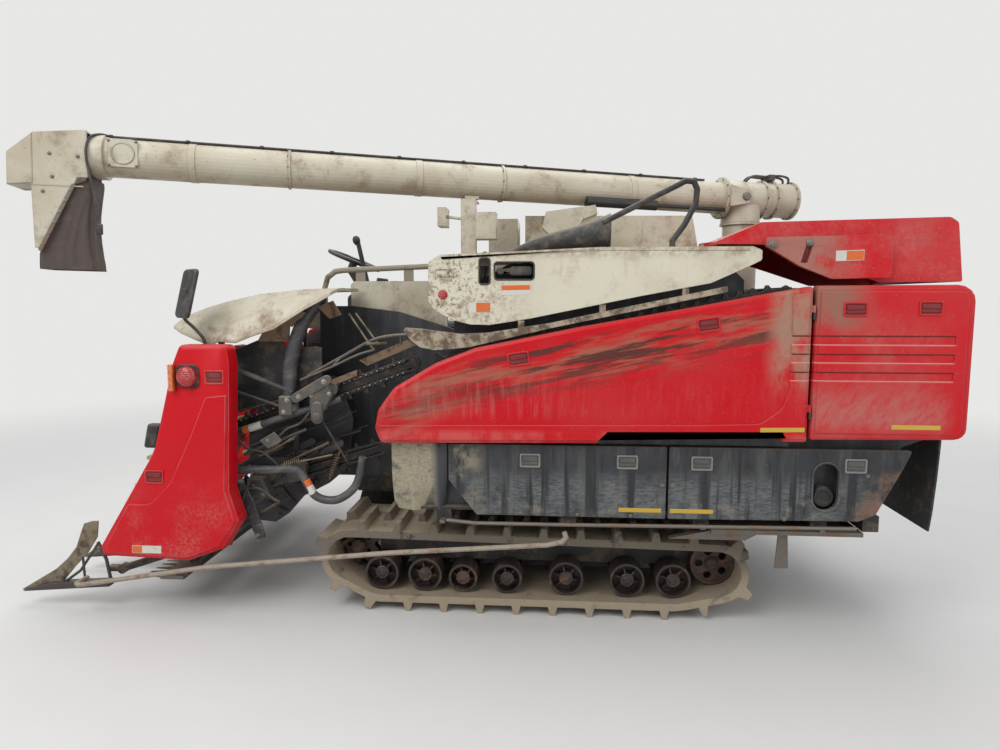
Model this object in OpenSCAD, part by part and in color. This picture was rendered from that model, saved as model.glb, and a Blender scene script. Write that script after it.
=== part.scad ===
// Head-feed combine harvester on rubber tracks, with a four-row gathering header on a lift
// pivot, an unloading auger that slews and lifts, and side covers that open.
// Millimetres. +X points forward, +Y to the driver's left and +Z up.
// The origin is on the ground, under the centre of the machine's overall box.

/* [Tracks] */
// Distance between the centre lines of the two tracks
track_gauge = 1075; // [1060:5:1090]
// Width of a rubber track
track_w = 450; // [420:5:460]
// Thickness of the belt without its lugs
belt_t = 36; // [30:1:40]
// Height of a lug above the belt
lug_h = 44; // [36:1:50]
// Distance along the belt from lug to lug
lug_pitch = 90; // [84:1:96]
// Radius of a large road roller
roller_r = 85; // [80:1:88]
// Radius of a small road roller
small_roller_r = 72; // [66:1:78]
// Outer radius of the idler wheel at the rear
idler_r = 106; // [100:1:110]
// Tip radius of the drive sprocket
sprocket_r = 104; // [100:1:108]

/* [Body] */
// Distance from the centre line to the outer face of the side doors
side_y = 950; // [930:5:970]
// Thickness of a red side door, rim included
door_t = 60; // [50:1:70]
// Thickness of a door's outer skin
door_skin = 14; // [10:1:20]
// Gap between neighbouring covers
door_gap = 12; // [10:1:16]
// Thickness of a lower black cover
low_cover_t = 25; // [20:1:30]
// Height of the deck that carries the body
deck_z = 572; // [565:1:580]
// Thickness of the sheet walls of hoods and covers
sheet_t = 16; // [12:1:20]

/* [Auger] */
// Outer radius of the unloading tube
tube_r = 90; // [84:1:94]
// Height of the tube's axis over the slewing axis
boom_z = 2126; // [2110:1:2140]
// Length of the tube from the slewing axis to the spout
tube_end = 3460; // [3300:10:3500]
// Angle of the stowed boom from straight ahead
boom_turn = 18; // [16:0.5:19]

/* [Header] */
// Distance from the centre line to the outer face of the header's side covers
header_y = 920; // [900:5:930]
// Spacing of the crop rows
row_pitch = 380; // [360:5:390]
// Width of a lifter case
case_w = 110; // [90:5:120]
// Radius of the header's main pipes
pipe_r = 38; // [32:1:42]

/* [Hidden] */
$fn = 32;

// Running gap between a wheel and the chords of the belt round it
wheel_gap = 4;
// Gap of a piece that rests on its seat
seat_gap = 0.3;
sole_z = lug_h + belt_t;
sprocket_x = 555;
sprocket_z = 262;
idler_x = -1235;
idler_z = 235;
// Road rollers from the front. Columns: x, radius
road_rollers = [
    [406, roller_r], [187, roller_r], [-4, small_roller_r], [-224, small_roller_r + 3],
    [-516, roller_r], [-814, roller_r], [-1036, roller_r]
];
first_roller = road_rollers[0];
last_roller = road_rollers[len(road_rollers) - 1];
// Rounds that the belt's inner face follows, anticlockwise seen from the right. Columns: x, z, radius
belt_rounds = [
    [sprocket_x, sprocket_z, sprocket_r + wheel_gap],
    [idler_x, idler_z, idler_r + wheel_gap],
    [last_roller[0], sole_z + last_roller[1] + wheel_gap, last_roller[1] + wheel_gap],
    [first_roller[0], sole_z + first_roller[1] + wheel_gap, first_roller[1] + wheel_gap]
];

// Slewing axis of the unloading auger
slew_x = -1547;
slew_y = -300;
// Rise of the stowed boom towards its spout, in degrees
boom_rise = 1.4;
// Lift pivot's distance from the slewing axis, along the boom
lift_s = 40;
ball_r = tube_r + 20;
ball_gap = 3;

// Header lift pivot
head_x = 300;
head_z = 820;

// Seam between the front and rear side doors
seam_x = -1560;
// Rear ends of the frame, the chopper case and the side doors
frame_rear = -1900;
chop_rear = frame_rear - 250;
rear_x = chop_rear - 60;
// Left ends of the frame's beams, and the threshing case behind the doors
frame_half = side_y - 70;
case_left = frame_half - 40;
hatch_left = case_left - 60;

// Flat shapes

// A plate with its outline in the XZ plane, between two y values
module plate_xz(points, y0, y1) {
    translate([0, y1, 0])
        rotate([90, 0, 0])
            linear_extrude(y1 - y0)
                polygon(points);
}

// A plate with its outline in the YZ plane, between two x values
module plate_yz(points, x0, x1) {
    translate([x0, 0, 0])
        rotate([90, 0, 90])
            linear_extrude(x1 - x0)
                polygon(points);
}

// A box between two corners
module box(low, high) {
    translate(low)
        cube(high - low);
}

// Both sides of the machine
module both_sides() {
    children();
    mirror([0, 1, 0])
        children();
}

// A round bar between two points
module bar(p, q, r) {
    d = q - p;
    translate(p)
        rotate([0, acos(d[2] / norm(d)), atan2(d[1], d[0])])
            cylinder(r = r, h = norm(d));
}

// A disc or drum whose axis is along Y, centred on a point
module drum(x, y, z, r, w) {
    translate([x, y + w / 2, z])
        rotate([90, 0, 0])
            cylinder(r = r, h = w);
}

// Outline with its corners rounded. Each row is x, y and the corner's radius
function rounded(rows, steps = 4) = [
    for (i = [0 : len(rows) - 1])
        let (
            n = len(rows),
            p = [rows[i][0], rows[i][1]],
            a = [rows[(i + n - 1) % n][0], rows[(i + n - 1) % n][1]] - p,
            b = [rows[(i + 1) % n][0], rows[(i + 1) % n][1]] - p,
            ua = a / norm(a),
            ub = b / norm(b),
            r = rows[i][2]
        )
        each r == 0 ? [p] :
            let (
                half = acos(ua * ub) / 2,
                centre = p + (ua + ub) / norm(ua + ub) * (r / sin(half)),
                start = p + ua * (r / tan(half)) - centre,
                turn = (ua[0] * ub[1] - ua[1] * ub[0] > 0 ? -1 : 1) * (180 - 2 * half)
            )
            [
                for (k = [0 : steps])
                    let (t = turn * k / steps)
                    centre + [start[0] * cos(t) - start[1] * sin(t), start[0] * sin(t) + start[1] * cos(t)]
            ]
];

// Least radius of a corner that is moved inwards
least_r = 4;

// The same outline moved inwards by d. The outline runs anticlockwise, with x to the right
function inset(rows, d) = [
    for (i = [0 : len(rows) - 1])
        let (
            n = len(rows),
            p = [rows[i][0], rows[i][1]],
            e = p - [rows[(i + n - 1) % n][0], rows[(i + n - 1) % n][1]],
            f = [rows[(i + 1) % n][0], rows[(i + 1) % n][1]] - p,
            ne = [-e[1], e[0]] / norm(e),
            nf = [-f[1], f[0]] / norm(f),
            m = (ne + nf) / norm(ne + nf),
            q = p + m * (d / (m * ne)),
            r = rows[i][2],
            convex = e[0] * f[1] - e[1] * f[0] > 0
        )
        [q[0], q[1], r == 0 ? 0 : max(least_r, convex ? r - d : r + d)]
];

// A solid through rings of equal length, each ring a list of points in space
module loft(rings) {
    n = len(rings[0]);
    last = len(rings) - 1;
    polyhedron(
        points = [for (ring = rings) each ring],
        faces = [
            [for (i = [0 : n - 1]) n - 1 - i],
            for (k = [0 : last - 1])
                for (i = [0 : n - 1])
                    [k * n + i, k * n + (i + 1) % n, (k + 1) * n + (i + 1) % n, (k + 1) * n + i],
            [for (i = [0 : n - 1]) last * n + i]
        ],
        convexity = 6
    );
}

// A panel whose outline lies in the XZ plane, as a loft through steps. Columns of a step: y, inset
module bevelled_panel(rows, steps) {
    loft([for (s = steps) [for (p = rounded(inset(rows, s[1]))) [p[0], s[0], p[1]]]]);
}

function unit(v) = v / norm(v);

// Ring k of a bent tube: the ring before it, carried along the bar to the mitre plane
function tube_ring(path, r, sides, k) =
    k == 0 ?
        let (
            d = unit(path[1] - path[0]),
            s = unit(cross(d, abs(d[1]) > 0.9 ? [1, 0, 0] : [0, 1, 0])),
            u = cross(s, d)
        )
        [for (j = [0 : sides - 1]) path[0] + r * (s * cos(360 * j / sides) + u * sin(360 * j / sides))] :
        let (
            d = unit(path[k] - path[k - 1]),
            next = k == len(path) - 1 ? d : unit(path[k + 1] - path[k]),
            m = unit(d + next)
        )
        [for (p = tube_ring(path, r, sides, k - 1)) p + d * (((path[k] - p) * m) / (d * m))];

// A bent tube through points, each bend mitred
module bent_tube(path, r, sides = 10) {
    loft([for (k = [0 : len(path) - 1]) tube_ring(path, r, sides, k)]);
}

// Loops that run round wheels: the track belts, chains and drive belts

function turn_to(a) = a - 360 * floor(a / 360);

// Angle of the outward normal on the straight run from round i to the next
function run_normal(rounds, i) =
    let (
        p = rounds[i],
        q = rounds[(i + 1) % len(rounds)],
        d = [q[0] - p[0], q[1] - p[1]]
    )
    atan2(d[1], d[0]) - acos((p[2] - q[2]) / norm(d));

// Pieces of the loop. An arc is [length, x, z, radius, start angle], a run is [length, x, z, angle]
function loop_pieces(rounds) = [
    for (i = [0 : len(rounds) - 1])
        let (
            n = len(rounds),
            p = rounds[i],
            q = rounds[(i + 1) % n],
            before = run_normal(rounds, (i + n - 1) % n),
            after = run_normal(rounds, i),
            start = [p[0] + p[2] * cos(after), p[1] + p[2] * sin(after)],
            end = [q[0] + q[2] * cos(after), q[1] + q[2] * sin(after)]
        )
        each [
            [turn_to(after - before) * p[2] * PI / 180, p[0], p[1], p[2], before],
            [norm(end - start), start[0], start[1], after]
        ]
];

function loop_length(pieces, k = 0) = k == len(pieces) ? 0 : pieces[k][0] + loop_length(pieces, k + 1);

// Point at distance s along the loop and at height h outside it
function on_pieces(pieces, s, h, k = 0) =
    s > pieces[k][0] && k < len(pieces) - 1 ? on_pieces(pieces, s - pieces[k][0], h, k + 1) :
    let (p = pieces[k])
    len(p) == 5 ?
        let (a = p[4] + s / p[3] * 180 / PI)
        [p[1] + (p[3] + h) * cos(a), p[2] + (p[3] + h) * sin(a)] :
        [p[1] + h * cos(p[3]) - s * sin(p[3]), p[2] + h * sin(p[3]) + s * cos(p[3])];

function on_loop(pieces, s, h) =
    let (total = loop_length(pieces))
    on_pieces(pieces, s - total * floor(s / total), h);

// Outline of a loop of links, with a tooth on each link whose number is in the kept share.
// tooth is [base, tip, height], keep is [every, first]
function link_outline(pieces, links, thickness, tooth, keep) =
    let (pitch = loop_length(pieces) / links)
    [
        for (i = [0 : links - 1])
            each [
                if (i % keep[0] == keep[1])
                    for (p = [[-tooth[0], 0], [-tooth[1], tooth[2]], [tooth[1], tooth[2]], [tooth[0], 0]])
                        on_loop(pieces, i * pitch + p[0] / 2, thickness + p[1])
                else
                    on_loop(pieces, i * pitch, thickness),
                on_loop(pieces, (i + 0.5) * pitch, thickness)
            ]
    ];

// A slab of a linked loop, between two y values
module link_slab(rounds, links, thickness, tooth, keep, y0, y1) {
    pieces = loop_pieces(rounds);
    pitch = loop_length(pieces) / links;
    translate([0, y1, 0])
        rotate([90, 0, 0])
            linear_extrude(y1 - y0)
                difference() {
                    polygon(link_outline(pieces, links, thickness, tooth, keep));
                    polygon([for (i = [0 : 2 * links - 1]) on_loop(pieces, i * pitch / 2, 0)]);
                }
}

// Tracks and undercarriage

track_links = 2 * round(loop_length(loop_pieces(belt_rounds)) / lug_pitch / 2);
lug_base = 46;
lug_tip = 22;
// Half width of the strip in which the two rows of lugs overlap
lug_overlap = 55;

// Rubber track: a belt with lugs that reach alternately to its two edges
module track(y) {
    tooth = [lug_base, lug_tip, lug_h];
    color("dimgray") {
        link_slab(belt_rounds, track_links, belt_t, tooth, [2, 0], y + lug_overlap, y + track_w / 2);
        link_slab(belt_rounds, track_links, belt_t, tooth, [1, 0], y - lug_overlap, y + lug_overlap);
        link_slab(belt_rounds, track_links, belt_t, tooth, [2, 1], y - track_w / 2, y - lug_overlap);
    }
}

// Height of a road roller's axle: the rollers at the ends stand clear of the belt's chords
function roller_z(i) =
    sole_z + road_rollers[i][1] + (i == 0 || i == len(road_rollers) - 1 ? wheel_gap : seat_gap);

beam_half = 45;
axle_r = 16;
drum_in = 60;
drum_out = 165;
hub_r = 34;
bore_gap = 1;
rim_t = 12;
web_t = 14;
carrier_x = -250;
carrier_r = 40;
carrier_z = 315;

// Dished drum of a roller, from the beam's side outwards along +Z
module roller_drum(r) {
    web_z = drum_in + 34;
    rotate_extrude()
        polygon([
            [axle_r + bore_gap, drum_in], [hub_r, drum_in], [hub_r, web_z], [r - rim_t, web_z],
            [r - rim_t, drum_in], [r, drum_in], [r, drum_out], [r - rim_t, drum_out],
            [r - rim_t, web_z + web_t], [hub_r, web_z + web_t], [hub_r, drum_out - 8],
            [axle_r + bore_gap, drum_out - 8]
        ]);
}

module rollers() {
    color("saddlebrown")
        both_sides()
            for (m = [-90, 90]) {
                for (i = [0 : len(road_rollers) - 1])
                    translate([road_rollers[i][0], track_gauge / 2, roller_z(i)])
                        rotate([m, 0, 0])
                            roller_drum(road_rollers[i][1]);
                translate([carrier_x, track_gauge / 2, carrier_z])
                    rotate([m, 0, 0])
                        rotate_extrude()
                            polygon([[axle_r + bore_gap, drum_in], [carrier_r, drum_in],
                                [carrier_r, drum_in + 45], [axle_r + bore_gap, drum_in + 45]]);
            }
}

beam_low = 212;
beam_high = 302;
beam_front = 440;
beam_rear = idler_x - 40;
cross_xs = [250, -700];
cross_low = 258;
cross_high = 326;

module track_frames() {
    yc = track_gauge / 2;
    color("saddlebrown") {
        both_sides() {
            box([beam_rear, yc - beam_half, beam_low], [beam_front, yc + beam_half, beam_high]);
            for (i = [0 : len(road_rollers) - 1]) {
                x = road_rollers[i][0];
                z = roller_z(i);
                plate_xz([[x - 40, beam_low + 10], [x - 26, z - 24], [x + 26, z - 24],
                    [x + 40, beam_low + 10]], yc - beam_half, yc + beam_half);
                drum(x, yc, z, axle_r, 2 * drum_out - 20);
            }
            drum(idler_x, yc, idler_z, axle_r, 2 * drum_in + 60);
            box([carrier_x - 30, yc - 30, beam_high - 5], [carrier_x + 30, yc + 30, carrier_z + 24]);
            drum(carrier_x, yc, carrier_z, axle_r, 2 * drum_in + 80);
            bar([-1010, yc + beam_half + 24, 322], [-470, yc + beam_half + 24, 322], 22);
            for (x = [-960, -520])
                box([x - 20, yc, beam_high - 20], [x + 20, yc + beam_half + 14, beam_high + 14]);
        }
        for (x = cross_xs)
            box([x - 40, -yc, cross_low], [x + 40, yc, cross_high]);
    }
}

sprocket_teeth = 9;
sprocket_t = 44;

module sprockets() {
    color("peru")
        both_sides() {
            translate([sprocket_x, (track_gauge + sprocket_t) / 2, sprocket_z])
                rotate([90, 0, 0])
                    difference() {
                        linear_extrude(sprocket_t)
                            polygon([
                                for (i = [0 : sprocket_teeth - 1])
                                    for (p = [[-0.34, 80], [-0.17, sprocket_r], [0.17, sprocket_r],
                                        [0.34, 80]])
                                        let (a = (i + p[0]) * 360 / sprocket_teeth)
                                        [p[1] * cos(a), p[1] * sin(a)]
                            ]);
                        for (a = [0 : 72 : 288])
                            translate([56 * cos(a), 56 * sin(a), -1])
                                cylinder(r = 11, h = sprocket_t + 2);
                    }
            drum(sprocket_x, track_gauge / 2 + 42, sprocket_z, 36, 40);
        }
}

module idlers() {
    color("peru")
        both_sides()
            for (m = [-90, 90])
                translate([idler_x, track_gauge / 2, idler_z])
                    rotate([m, 0, 0])
                        difference() {
                            rotate_extrude()
                                polygon([
                                    [axle_r + bore_gap, drum_in], [36, drum_in], [36, drum_in + 8],
                                    [idler_r - 16, drum_in + 8], [idler_r - 16, drum_in],
                                    [idler_r, drum_in], [idler_r, drum_in + 34],
                                    [idler_r - 16, drum_in + 34], [idler_r - 16, drum_in + 22],
                                    [36, drum_in + 22], [36, drum_in + 28],
                                    [axle_r + bore_gap, drum_in + 28]
                                ]);
                            for (a = [0 : 72 : 288])
                                translate([63 * cos(a), 63 * sin(a), drum_in])
                                    cylinder(r = 19, h = 40);
                        }
}

rail_y = 250;
rail_low = 470;

module transmission() {
    yc = track_gauge / 2;
    color("dimgray") {
        plate_xz(rounded([[440, 170, 30], [650, 170, 60], [690, 300, 40], [640, rail_low - seat_gap, 10],
            [440, rail_low - seat_gap, 10]]),
            -170, 170);
        both_sides() {
            bar([sprocket_x, 160, sprocket_z], [sprocket_x, yc - sprocket_t / 2 - seat_gap, sprocket_z],
                58);
            drum(sprocket_x, yc - 60, sprocket_z, 74, 24);
            drum(sprocket_x, 200, sprocket_z, 82, 30);
        }
    }
}

frame_front = 640;
cross_beams = [60, -520, -1120, -1640, frame_rear + 35];
beam_low_z = 500;
beam_top = deck_z - 12;
deck_front = 180;
// Stands of the header's lift pivot: y of their inner faces
stand_left = 230;
stand_right = -70;
stand_t = 20;

module chassis_frame() {
    color([0.12, 0.12, 0.13]) {
        both_sides()
            box([frame_rear, rail_y - 30, rail_low], [frame_front, rail_y + 30, beam_top]);
        for (x = cross_beams)
            box([x - 35, -frame_half, beam_low_z], [x + 35, frame_half, beam_top]);
        box([frame_rear, -frame_half, beam_top], [deck_front, frame_half, deck_z]);
        // Outrigger under the driver's floor
        box([565, -frame_half, beam_low_z], [635, -rail_y, beam_top]);
        both_sides()
            for (x = cross_xs)
                box([x - 40, rail_y - 30, cross_high], [x + 40, rail_y + 30, rail_low]);
        box([frame_front - 60, -rail_y, rail_low], [frame_front, rail_y, beam_top]);
        box([deck_front, stand_right - stand_t, rail_low], [460, stand_right, beam_top]);
        box([400, -rail_y, rail_low], [430, rail_y, beam_top]);
        for (y = [stand_left, stand_right - stand_t])
            plate_xz([[deck_front, beam_top - 10], [deck_front, 700], [head_x - 62, head_z],
                [head_x, head_z + 62], [head_x + 62, head_z], [460, beam_top - 10]], y, y + stand_t);
    }
}

// Lashing eyes on the rear ends of the rails
lash_t = 20;
lash_hole_r = 18;
tow_hole_r = 16;
tow_t = 20;
tow_z = 520;

module lashing_eyes() {
    color([0.12, 0.12, 0.13]) {
        both_sides()
            difference() {
                box([frame_rear - 70, rail_y - lash_t / 2, rail_low + 5],
                    [frame_rear - seat_gap, rail_y + lash_t / 2, rail_low + 75]);
                drum(frame_rear - 38, rail_y, rail_low + 40, lash_hole_r, lash_t + 2);
            }
        difference() {
            box([frame_rear - 90, -60, tow_z], [frame_rear - seat_gap, 60, tow_z + tow_t]);
            translate([frame_rear - 50, 0, tow_z - 1])
                cylinder(r = tow_hole_r, h = tow_t + 2);
        }
    }
}

// Body

module engine() {
    color("dimgray")
        box([-220, -760, deck_z + seat_gap], [390, -262, 1120]);
}

case_right = 60;
// Front edge of the threshing case. Columns: x, z
case_front = [[deck_front, 830], [40, 960], [40, 1230]];
housing_top = 1700;

module threshing_case() {
    color([0.16, 0.17, 0.19]) {
        plate_xz([[deck_front, deck_z + seat_gap], each case_front, [-100, 1300], [-1490, 1590],
            [-1490, deck_z + seat_gap]], case_right, case_left);
        // Concave and drum housing
        plate_xz([[20, 1225], [20, 1480], [-60, 1600], [-240, housing_top], [-1220, housing_top],
            [-1300, 1620], [-1300, 1500], [-100, 1270]], 110, hatch_left);
        // Sill behind the doors' lower edge
        box([-1490, case_left, 884], [160, side_y - door_t - 6, 950]);
    }
}

// Pulleys on the left wall. Columns: x, z, radius
pulleys = [[-180, 1062, 100], [-640, 1095, 120], [-1040, 1065, 90], [-1330, 1190, 120]];
pulley_y = case_left + 26;
groove = 8;
// Gap from the groove's floor to the corners of the belt
belt_gap = 1.6;

module belt_drive() {
    color("silver")
        for (p = pulleys)
            translate([p[0], pulley_y, p[1]])
                rotate([90, 0, 0]) {
                    rotate_extrude()
                        polygon([[0, -18], [p[2], -18], [p[2], -13], [p[2] - groove, -13],
                            [p[2] - groove, 13], [p[2], 13], [p[2], 18], [0, 18]]);
                    cylinder(r = 22, h = pulley_y - case_left);
                }
    color("black")
        for (i = [0 : len(pulleys) - 2]) {
            a = pulleys[i];
            b = pulleys[i + 1];
            belt_pair = [for (q = [a, b]) [q[0], q[1], q[2] - groove + belt_gap]];
            y = pulley_y - 11 + (i % 2) * 13;
            link_slab(belt_pair, 28, 9, [0, 0, 0], [1, 1], y, y + 7);
        }
}

// Feed chain, whose tooth tips run just under the clamp rail
feed_front = [60, 1216];
feed_slope = 0.2085;
feed_rear = [-1420, feed_front[1] + (feed_front[0] + 1420) * feed_slope];
feed_round_r = 42;
feed_rounds = [[each feed_front, feed_round_r], [each feed_rear, feed_round_r]];
feed_pitch = 62;
feed_y = case_left + 28;
chain_half = 13;

module feed_chain() {
    links = round(loop_length(loop_pieces(feed_rounds)) / feed_pitch);
    y0 = case_left + seat_gap;
    y1 = feed_y + chain_half;
    color("black") {
        link_slab(feed_rounds, links, 16, [34, 8, 22], [1, 0], feed_y - chain_half, y1);
        for (r = feed_rounds)
            drum(r[0], (y0 + y1) / 2, r[1], feed_round_r + 0.5, y1 - y0);
        plate_xz([feed_front + [0, -20], feed_front + [0, 20], feed_rear + [0, 20], feed_rear + [0, -20]],
            y0, y0 + 10);
    }
}

// Clamp rail over the feed chain. Columns: x, z, corner radius
feed_rail_outline = rounded([
    [227, 1394, 6], [200, 1354, 20], [155, 1320, 30], [87, 1308, 40], [9, 1314, 0], [-71, 1323, 0],
    [-426, 1407, 0], [-1195, 1567, 0], [-1195, 1592, 4], [-648, 1478, 0], [-424, 1430, 0], [-144, 1386, 30],
    [-27, 1381, 30], [154, 1403, 0], [226, 1408, 4]
]);

// Lower edge of the threshing cover. Columns: x, z
cover_low_edge = [[-1128, 1606], [-823, 1549], [-339, 1450], [-160, 1421]];
function cover_low(x) = lookup(x, cover_low_edge);

module feed_rail() {
    color("wheat") {
        plate_xz(feed_rail_outline, feed_y + 16, feed_y + 54);
        // Arms under the cover's lower edge
        for (x = [-300, -660, -1020])
            box([x - 14, feed_y + 18, cover_low(x) - 50],
                [x + 14, feed_y + 34, cover_low(x + 14) - seat_gap]);
    }
}

cover_peak = 1764;
// Top of the threshing cover at x: it falls towards the front
function cover_top(x) = cover_peak - max(0, x + 645) * 0.0437;

cover_outline = rounded([
    [118, 1702, 26], [64, cover_top(64), 0], [-645, cover_peak, 0], [-1300, cover_peak, 20],
    [-1340, 1747, 8], [-1340, 1705, 12], [-1308, 1688, 0], [-1128, 1606, 40], [-823, 1549, 0],
    [-339, 1450, 0], [-160, 1421, 60], [-70, 1423, 60], [12, 1443, 60], [93, 1488, 60], [119, 1526, 20]
]);
cover_right = 92;
cover_left = side_y - 48;

hood_hinge = [-1120, 1780];
hood_hinge_ys = [260, 700];
hinge_pin_r = 7;

// Upper cover of the threshing drum: a shell open below and to the right
module threshing_cover() {
    color("wheat") {
        difference() {
            plate_xz(cover_outline, cover_right, cover_left);
            plate_xz([[118 - sheet_t, 1300], [118 - sheet_t, 1690], [60, cover_top(60) - sheet_t],
                [-645, cover_peak - sheet_t], [-1287, cover_peak - sheet_t], [-1340 + sheet_t, 1740],
                [-1340 + sheet_t, 1300]], cover_right - 1, cover_left - sheet_t);
            // Hand hole and latch window
            plate_xz(rounded([[-160, 1602, 14], [-112, 1602, 14], [-112, 1718, 14], [-160, 1718, 14]]),
                cover_left - 40, cover_left + 1);
            plate_xz(rounded([[-356, 1622, 14], [-180, 1622, 14], [-180, 1700, 14], [-356, 1700, 14]]),
                cover_left - 40, cover_left + 1);
        }
        // Feet on the drum housing
        for (x = [-300, -1100])
            box([x - 20, 400, housing_top + seat_gap], [x + 20, 500, cover_top(x + 20) - 4]);
        // Lugs and pins of the rear hood's hinge
        for (y = hood_hinge_ys) {
            plate_xz([[hood_hinge[0] - 14, cover_peak - 4], [hood_hinge[0] + 14, cover_peak - 4],
                [hood_hinge[0] + 10, hood_hinge[1] + 10], [hood_hinge[0] - 10, hood_hinge[1] + 10]],
                y, y + 10);
            drum(hood_hinge[0], y + 16, hood_hinge[1], hinge_pin_r, 30);
        }
    }
}

low_top = 876;
low_z = 547;
low_split = -962;
low_rear = chop_rear + 138;
low_y = frame_half + seat_gap;

module mud_guard() {
    color([0.2, 0.2, 0.21])
        plate_xz([[40, 554], [120, 542], [292, 600], [300, low_top], [40, low_top]],
            frame_half + seat_gap, frame_half + 16);
}

module low_cover_front() {
    color([0.15, 0.16, 0.19])
        difference() {
            plate_xz(rounded([[low_split + door_gap / 2, low_z, 6], [-96, low_z, 6], [32, 710, 6],
                [32, low_top, 6], [low_split + door_gap / 2, low_top, 6]]), low_y, low_y + low_cover_t);
            for (x = [-343, -782])
                box([x - 45, low_y + low_cover_t - 14, 775], [x + 45, low_y + low_cover_t + 1, 835]);
        }
}

module low_cover_rear() {
    color([0.15, 0.16, 0.19])
        difference() {
            plate_xz(rounded([[low_rear + 140, 587, 20], [low_rear + 211, low_z + 8, 10],
                [low_split - door_gap / 2, low_z, 6], [low_split - door_gap / 2, low_top, 6],
                [low_rear, low_top, 6], [low_rear + 34, 796, 20]]),
                low_y, low_y + low_cover_t);
            for (x = [-1112, -1777])
                box([x - 45, low_y + low_cover_t - 14, 775], [x + 45, low_y + low_cover_t + 1, 835]);
            // Oval port for the hose end
            plate_xz(rounded([[-1709, 600, 54], [-1597, 600, 54], [-1597, 815, 54], [-1709, 815, 54]]),
                low_y - 1, low_y + low_cover_t + 1);
        }
}

plank_top = beam_low_z - seat_gap;
hanger_xs = [60, -520, -1120, -1640];

module guard_rail() {
    rod_y = side_y - 18;
    color("darkgray") {
        bent_tube([[40, rod_y, 526], [-94, rod_y, 514], [-500, rod_y, 516], [-1780, rod_y, 530]], 9, 8);
        for (x = hanger_xs)
            box([x - 12, frame_half + seat_gap, 508], [x + 12, rod_y - 2, 524]);
    }
    color("peru") {
        box([frame_rear + 72, frame_half - 180, plank_top - 19], [-1163, frame_half + 20, plank_top]);
        plate_xz([[-1320, 446], [-980, 446], [-1170, plank_top - 10], [-1400, plank_top - 10]],
            frame_half - 40, frame_half);
        plate_xz([[-1525, 310], [-1465, 310], [-1475, plank_top - 10], [-1515, plank_top - 10]],
            frame_half - 35, frame_half - 27);
    }
}

module straw_chopper() {
    color([0.16, 0.17, 0.19]) {
        // Arms and fixed knuckles of the side doors' hinges
        for (z = knuckle_zs) {
            box([front_hinge_x - 2, case_left - 5, z], [front_hinge_x + 2, side_y, z + knuckle_h]);
            translate([front_hinge_x, side_y, z])
                cylinder(r = knuckle_r, h = knuckle_h);
            box([rear_hinge_x - 2, case_left - 12, z], [rear_hinge_x + 2, rear_hinge_y, z + knuckle_h]);
            box([rear_hinge_x - 2, case_left - 12, z], [chop_rear + 5, case_left - 4, z + knuckle_h]);
            translate([rear_hinge_x, rear_hinge_y, z])
                cylinder(r = knuckle_r, h = knuckle_h);
        }
        plate_xz([[-1492, deck_z + seat_gap], [chop_rear + 310, 590], [chop_rear + 155, 880],
            [chop_rear, 940], [chop_rear, 1560], [chop_rear + 270, 1585], [-1492, 1585]],
            case_right, case_left);
    }
}

module rear_flap() {
    x = chop_rear - seat_gap;
    color([0.1, 0.1, 0.1])
        plate_xz([[x, 1010], [x - 8, 1010], [x - 9, 900], [x - 2, 740], [x + 8, 590], [x + 18, 500],
            [x + 26, 500], [x + 17, 590], [x + 7, 740], [x, 900]], case_right + 10, case_left + 10);
}

// Half width of the vertical auger's foot
foot_half = 120;
tank_left = 30;
tank_right = -945;
tank_front = -281;
tank_rear = -1243;
tank_roof_front = 2003;
tank_roof_rear = 1996;

module grain_tank() {
    color("wheat") {
        difference() {
            plate_yz([[tank_left, 1150], [tank_left, 2060], [tank_right + 40, 2060],
                [tank_right, 1960], [tank_right, 900], [-780, 700], [-330, 700]], tank_rear, tank_front);
            plate_xz([[tank_front + 1, tank_roof_front], [tank_front + 1, 2100], [tank_rear - 1, 2100],
                [tank_rear - 1, tank_roof_rear]], tank_right - 1, tank_left + 1);
            plate_xz([[tank_rear - 1, 1800], [tank_rear + 60, 2100], [tank_rear - 1, 2100]],
                tank_right - 1, tank_left + 1);
        }
        // Sump that leads back to the vertical auger
        plate_yz(rounded([[-440, 620, 20], [-180, 620, 20], [-220, 720, 0], [-400, 720, 0]]),
            slew_x + foot_half + seat_gap, tank_rear + 300);
        // Lid on the roof and pressed ribs on the right wall
        box([tank_rear + 260, tank_right + 90, tank_roof_rear - 10],
            [tank_front - 120, -480, tank_roof_front + 12]);
        for (z = [1080 : 150 : 1830])
            box([tank_rear + 70, tank_right - 8, z], [tank_front - 70, tank_right + 2, z + 36]);
        for (x = [tank_rear + 90, tank_front - 90])
            for (y = [-740, -480])
                box([x - 25, y - 25, deck_z + seat_gap], [x + 25, y + 25, 710]);
    }
}

// Height of the turning neck between the vertical pipe and the tube's axis
neck_h = 141;
pipe_top = boom_z - neck_h;

module vertical_auger() {
    color("wheat") {
        translate([slew_x, slew_y, 600])
            cylinder(r = 100, h = pipe_top - 600);
        for (z = [740, 1400, pipe_top - 14])
            translate([slew_x, slew_y, z])
                cylinder(r = 116, h = 14);
        box([slew_x - foot_half, slew_y - foot_half, deck_z + seat_gap],
            [slew_x + foot_half, slew_y + foot_half, 740]);
    }
}

elevator_y = 300;

module elevator_head() {
    color("tan") {
        translate([-522, elevator_y, cover_top(-566) + seat_gap])
            cylinder(r = 44, h = 134);
        plate_xz([[-381, 1905], [-400, 1985], [-655, 2018], [-665, 1975], [-590, 1945], [-560, 1890],
            [-420, 1870]], elevator_y - 55, elevator_y + 55);
    }
}

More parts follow.
